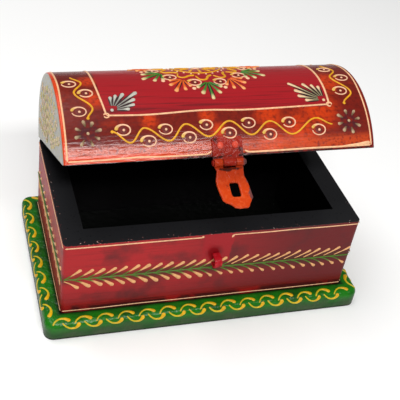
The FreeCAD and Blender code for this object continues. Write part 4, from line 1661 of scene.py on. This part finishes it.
@dataclass
class Ironwork:
    """Hasp, staple and hinges, with domed stud heads and a hand-cut hasp leaf in place of the plain ones."""

    sheet: float = BoxSizes.sheet
    half_depth: float = BoxSizes.half_depth
    stud_radius: float = 2.25
    stud_rise: float = 1.5
    stud_foot: float = -0.05
    stud_spread: float = 9.6
    hasp_stud_up: float = 6.8
    hinge_stud_up: float = 8.5
    hinge_x: float = 55.0
    leaf_outline: Path = (
        (-3.95, -2.75), (-4.6, -0.3), (-9.0, -0.3), (-9.2, -2.2), (-8.6, -4.6), (-9.4, -7.4), (-10.5, -10.6),
        (-10.7, -14.4), (-10.2, -19.4), (-9.2, -24.9), (-7.4, -26.6), (-5.4, -27.4), (-3.8, -28.7),
        (-2.6, -30.1), (0.3, -30.9), (5.6, -30.6), (6.4, -29.9), (7.0, -28.6), (10.0, -24.0), (9.7, -20.2),
        (9.1, -13.2), (8.0, -9.4), (8.2, -6.2), (8.9, -3.2), (9.0, -0.3), (4.6, -0.3), (3.95, -2.75))
    # Shares of the way from the slot to the outline, with the height there: enamel rounds both edges
    leaf_profile: Path = (
        (0.0, -BoxSizes.sheet), (0.0, -0.25), (0.05, 0.0), (0.2, 0.05), (0.85, 0.05), (0.96, 0.0),
        (1.0, -0.3), (1.0, -BoxSizes.sheet))
    leaf_step: float = 1.6
    slot_middle: Point = (0.0, -18.2)
    slot_half: Point = (3.0, 5.0)
    slot_squareness: float = 6.0
    knuckle: Point = (4.35, 9.7)
    knuckle_radius: float = 2.4
    knuckle_bore: float = 1.15
    knuckle_bevel: float = 0.2
    knuckle_sides: int = 24

    def build(self, barrel: BarrelFace) -> None:
        """Dresses the ironwork and sets the stud heads.

        Args:
            barrel: Outside of the lid.
        """
        pivot = Vector(frame["joints"][1]["pos_m"]) / MM
        pin = (pivot.y, pivot.z)
        enamels = (
            IronEnamel("brick_red", "#981F13", "#B24C3A", darkening=(0.56, 0.7), wear_from=12.8, pin=pin),
            IronEnamel("orange", "#BE3A0A", "#D25626", darkening=(0.64, 0.78), wear_from=11.6, pin=pin),
            IronEnamel("rubbed_red", "#CC4836", "#E0806E"),
            IronEnamel("bright_red", "#A5101C", "#C4303A", darkening=(0.6, 0.75)),
            IronEnamel("maroon", "#70201A", "#8A3A30"))
        red, orange, pink, strap, maroon = [enamel.material() for enamel in enamels]
        dress(("hasp_plate", "hasp_pin"), red, Slot.IRON)
        self.cut_leaf(pivot, orange)
        dress(("staple",), strap, Slot.IRON)
        hinges = [name for name in frame["nodes"] if name.startswith("hinge_") and not name.endswith("studs")]
        dress(hinges, maroon, Slot.IRON)
        spread = (-self.stud_spread / 2, self.stud_spread / 2)
        over_sheet = BarrelFace(proud=self.sheet)
        back = FlatFace(Side.BACK.outward * (self.half_depth + self.sheet), Side.BACK.right)
        on_hinges = [side * self.hinge_x + step for side in (-1, 1) for step in spread]
        low, high = (size - self.hinge_stud_up for size in (barrel.hinge.z, barrel.arc))
        sets = (("hasp_studs", over_sheet, Body.LID, pink, spread, self.hasp_stud_up),
                ("hinge_lid_studs", over_sheet, Body.LID, maroon, on_hinges, high),
                ("hinge_box_studs", back, Body.BOX, maroon, on_hinges, low))
        for node, face, body, material, places, level in sets:
            heads = Relief(face, Seed.STUD_HEADS)
            for place in places:
                heads.dot((place, level), self.stud_radius, self.stud_rise, self.stud_foot)
            piece = heads.build(f"{node}_domes", body, Slot.IRON, material)
            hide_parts(node)

    def cut_leaf(self, pivot: Vector, material: bpy.types.Material) -> None:
        """Cuts the hasp's leaf by hand round its slot and rolls its two knuckles.

        Args:
            pivot: Middle of the hasp's pin.
            material: Finish of the leaf.
        """
        swing = math.radians(-sum(joint["range_deg"][0] for joint in frame["joints"]))
        upward = Vector((0.0, math.sin(swing), math.cos(swing)))
        right = Side.FRONT.right
        leaf = Relief(FlatFace(pivot - right.cross(upward) * self.sheet, right, upward), Seed.HASP_LEAF)
        edge = []
        for (x0, y0), (x1, y1) in zip(self.leaf_outline, [*self.leaf_outline[1:], self.leaf_outline[0]]):
            count = max(1, round(math.hypot(x1 - x0, y1 - y0) / self.leaf_step))
            edge += [(x0 + (x1 - x0) * step / count, y0 + (y1 - y0) * step / count) for step in range(count)]
        hole = []
        for along, up in edge:
            turn = math.atan2(up - self.slot_middle[1], along - self.slot_middle[0])
            sides = (abs(math.cos(turn)) / self.slot_half[0], abs(math.sin(turn)) / self.slot_half[1])
            reach = sum(side ** self.slot_squareness for side in sides) ** (-1 / self.slot_squareness)
            hole.append(polar(self.slot_middle, reach, math.degrees(turn)))
        leaf.hoop([[(a + (c - a) * share, b + (d - b) * share, lift) for (a, b), (c, d) in zip(hole, edge)]
                   for share, lift in self.leaf_profile])
        turns = [2 * math.pi * step / self.knuckle_sides for step in range(self.knuckle_sides)]
        inner, outer = self.knuckle
        bore, radius, bevel = self.knuckle_bore, self.knuckle_radius, self.knuckle_bevel
        for start, end in ((-outer, -inner), (inner, outer)):
            tube = ((start, bore), (start, radius - bevel), (start + bevel, radius), (end - bevel, radius),
                    (end, radius - bevel), (end, bore))
            leaf.hoop([[(x, size * math.cos(turn), self.sheet - size * math.sin(turn)) for turn in turns]
                       for x, size in tube])
        piece = leaf.build("hasp_leaf_hand_cut", Body.HASP, Slot.IRON, material)
        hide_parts("hasp_leaf")


@dataclass(frozen=True)
class Softbox:
    """A soft light that hangs square to the box's length, in metres and watts."""

    name: str
    place: tuple[float, float, float]
    size: Point
    watts: float
    aim_height: float = 0.09

    def hang(self) -> None:
        """Hangs the light."""
        data = bpy.data.lights.new(self.name, "AREA")
        data.shape = "RECTANGLE"
        data.size, data.size_y = self.size
        data.energy = self.watts
        light = bpy.data.objects.new(self.name, data)
        light.location = self.place
        aim = Vector((self.place[0], 0.0, self.aim_height)) - Vector(self.place)
        light.rotation_euler = aim.to_track_quat("-Z", "Y").to_euler()
        bpy.context.scene.collection.objects.link(light)


@dataclass
class Studio:
    """Pale floor, soft lights and the camera at the photograph's angle."""

    floor_size: float = 8.0
    floor_drop: float = 0.0002
    air: str = "#FFFFFF"
    air_strength: float = 0.18
    lights: tuple[Softbox, ...] = (
        Softbox("softbox_front", (0.03, -1.02, 1.17), (0.97, 0.17), 15.9),
        Softbox("softbox_overhead", (-0.4, 0.3, 1.6), (0.9, 1.4), 18.0))
    eye: Vector = Vector((-168.9, -421.8, 415.1))
    yaw: float = 20.6
    pitch: float = -38.0
    roll: float = 9.02
    focal_pixels: float = 827.9
    image_side: int = 400
    image_middle: Point = (180.0, 190.0)
    sensor: float = 36.0
    clip_start: float = 0.01

    def build(self) -> None:
        """Sets the floor, the lights and the camera."""
        bpy.ops.mesh.primitive_plane_add(size=self.floor_size, location=(0.0, 0.0, -self.floor_drop))
        floor = bpy.context.object
        floor.name = "floor"
        floor.data.materials.append(PlainFinish("white_paper_floor", "#FBFBFA", 0.7, speckle=0.01).material())
        floor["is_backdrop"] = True
        world = bpy.data.worlds.new("studio_air")
        bpy.context.scene.world = world
        world.use_nodes = True
        inputs = world.node_tree.nodes["Background"].inputs
        inputs["Color"].default_value = linear(self.air)
        inputs["Strength"].default_value = self.air_strength
        for light in self.lights:
            light.hang()
        self.set_camera()
        bpy.context.scene.view_settings.view_transform = "Standard"

    def set_camera(self) -> None:
        """Places the camera where the photograph was taken from."""
        yaw, pitch, roll = (math.radians(angle) for angle in (self.yaw, self.pitch, self.roll))
        ahead = Vector((math.sin(yaw) * math.cos(pitch), math.cos(yaw) * math.cos(pitch), math.sin(pitch)))
        level = Vector((math.cos(yaw), -math.sin(yaw), 0.0))
        upright = level.cross(ahead)
        right = level * math.cos(roll) + upright * math.sin(roll)
        up = upright * math.cos(roll) - level * math.sin(roll)
        data = bpy.data.cameras.new("photo_camera")
        data.sensor_width = self.sensor
        data.lens = self.focal_pixels / self.image_side * self.sensor
        data.shift_x = 0.5 - self.image_middle[0] / self.image_side
        data.shift_y = self.image_middle[1] / self.image_side - 0.5
        data.clip_start = self.clip_start
        camera = bpy.data.objects.new("photo_camera", data)
        turn = Matrix((right, up, -ahead)).transposed().to_4x4()
        camera.matrix_world = Matrix.Translation(self.eye * MM) @ turn
        bpy.context.scene.collection.objects.link(camera)
        bpy.context.scene.camera = camera


def main() -> None:
    """Builds the looks in order and works out the bounds of the CAD frame and of the looks."""
    logging.basicConfig(level=logging.INFO, format="%(name)s: %(message)s")
    palette = Palette()
    Carcass(palette).build()
    lid = Lid(palette)
    lid.build()
    Ironwork().build(lid.barrel)
    Studio().build()
    boxes = {"cad": CAD_BOX, "visual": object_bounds()}
    {name: [list(corner) for corner in corners] for name, corners in boxes.items()}


if __name__ == "__main__":
    main()
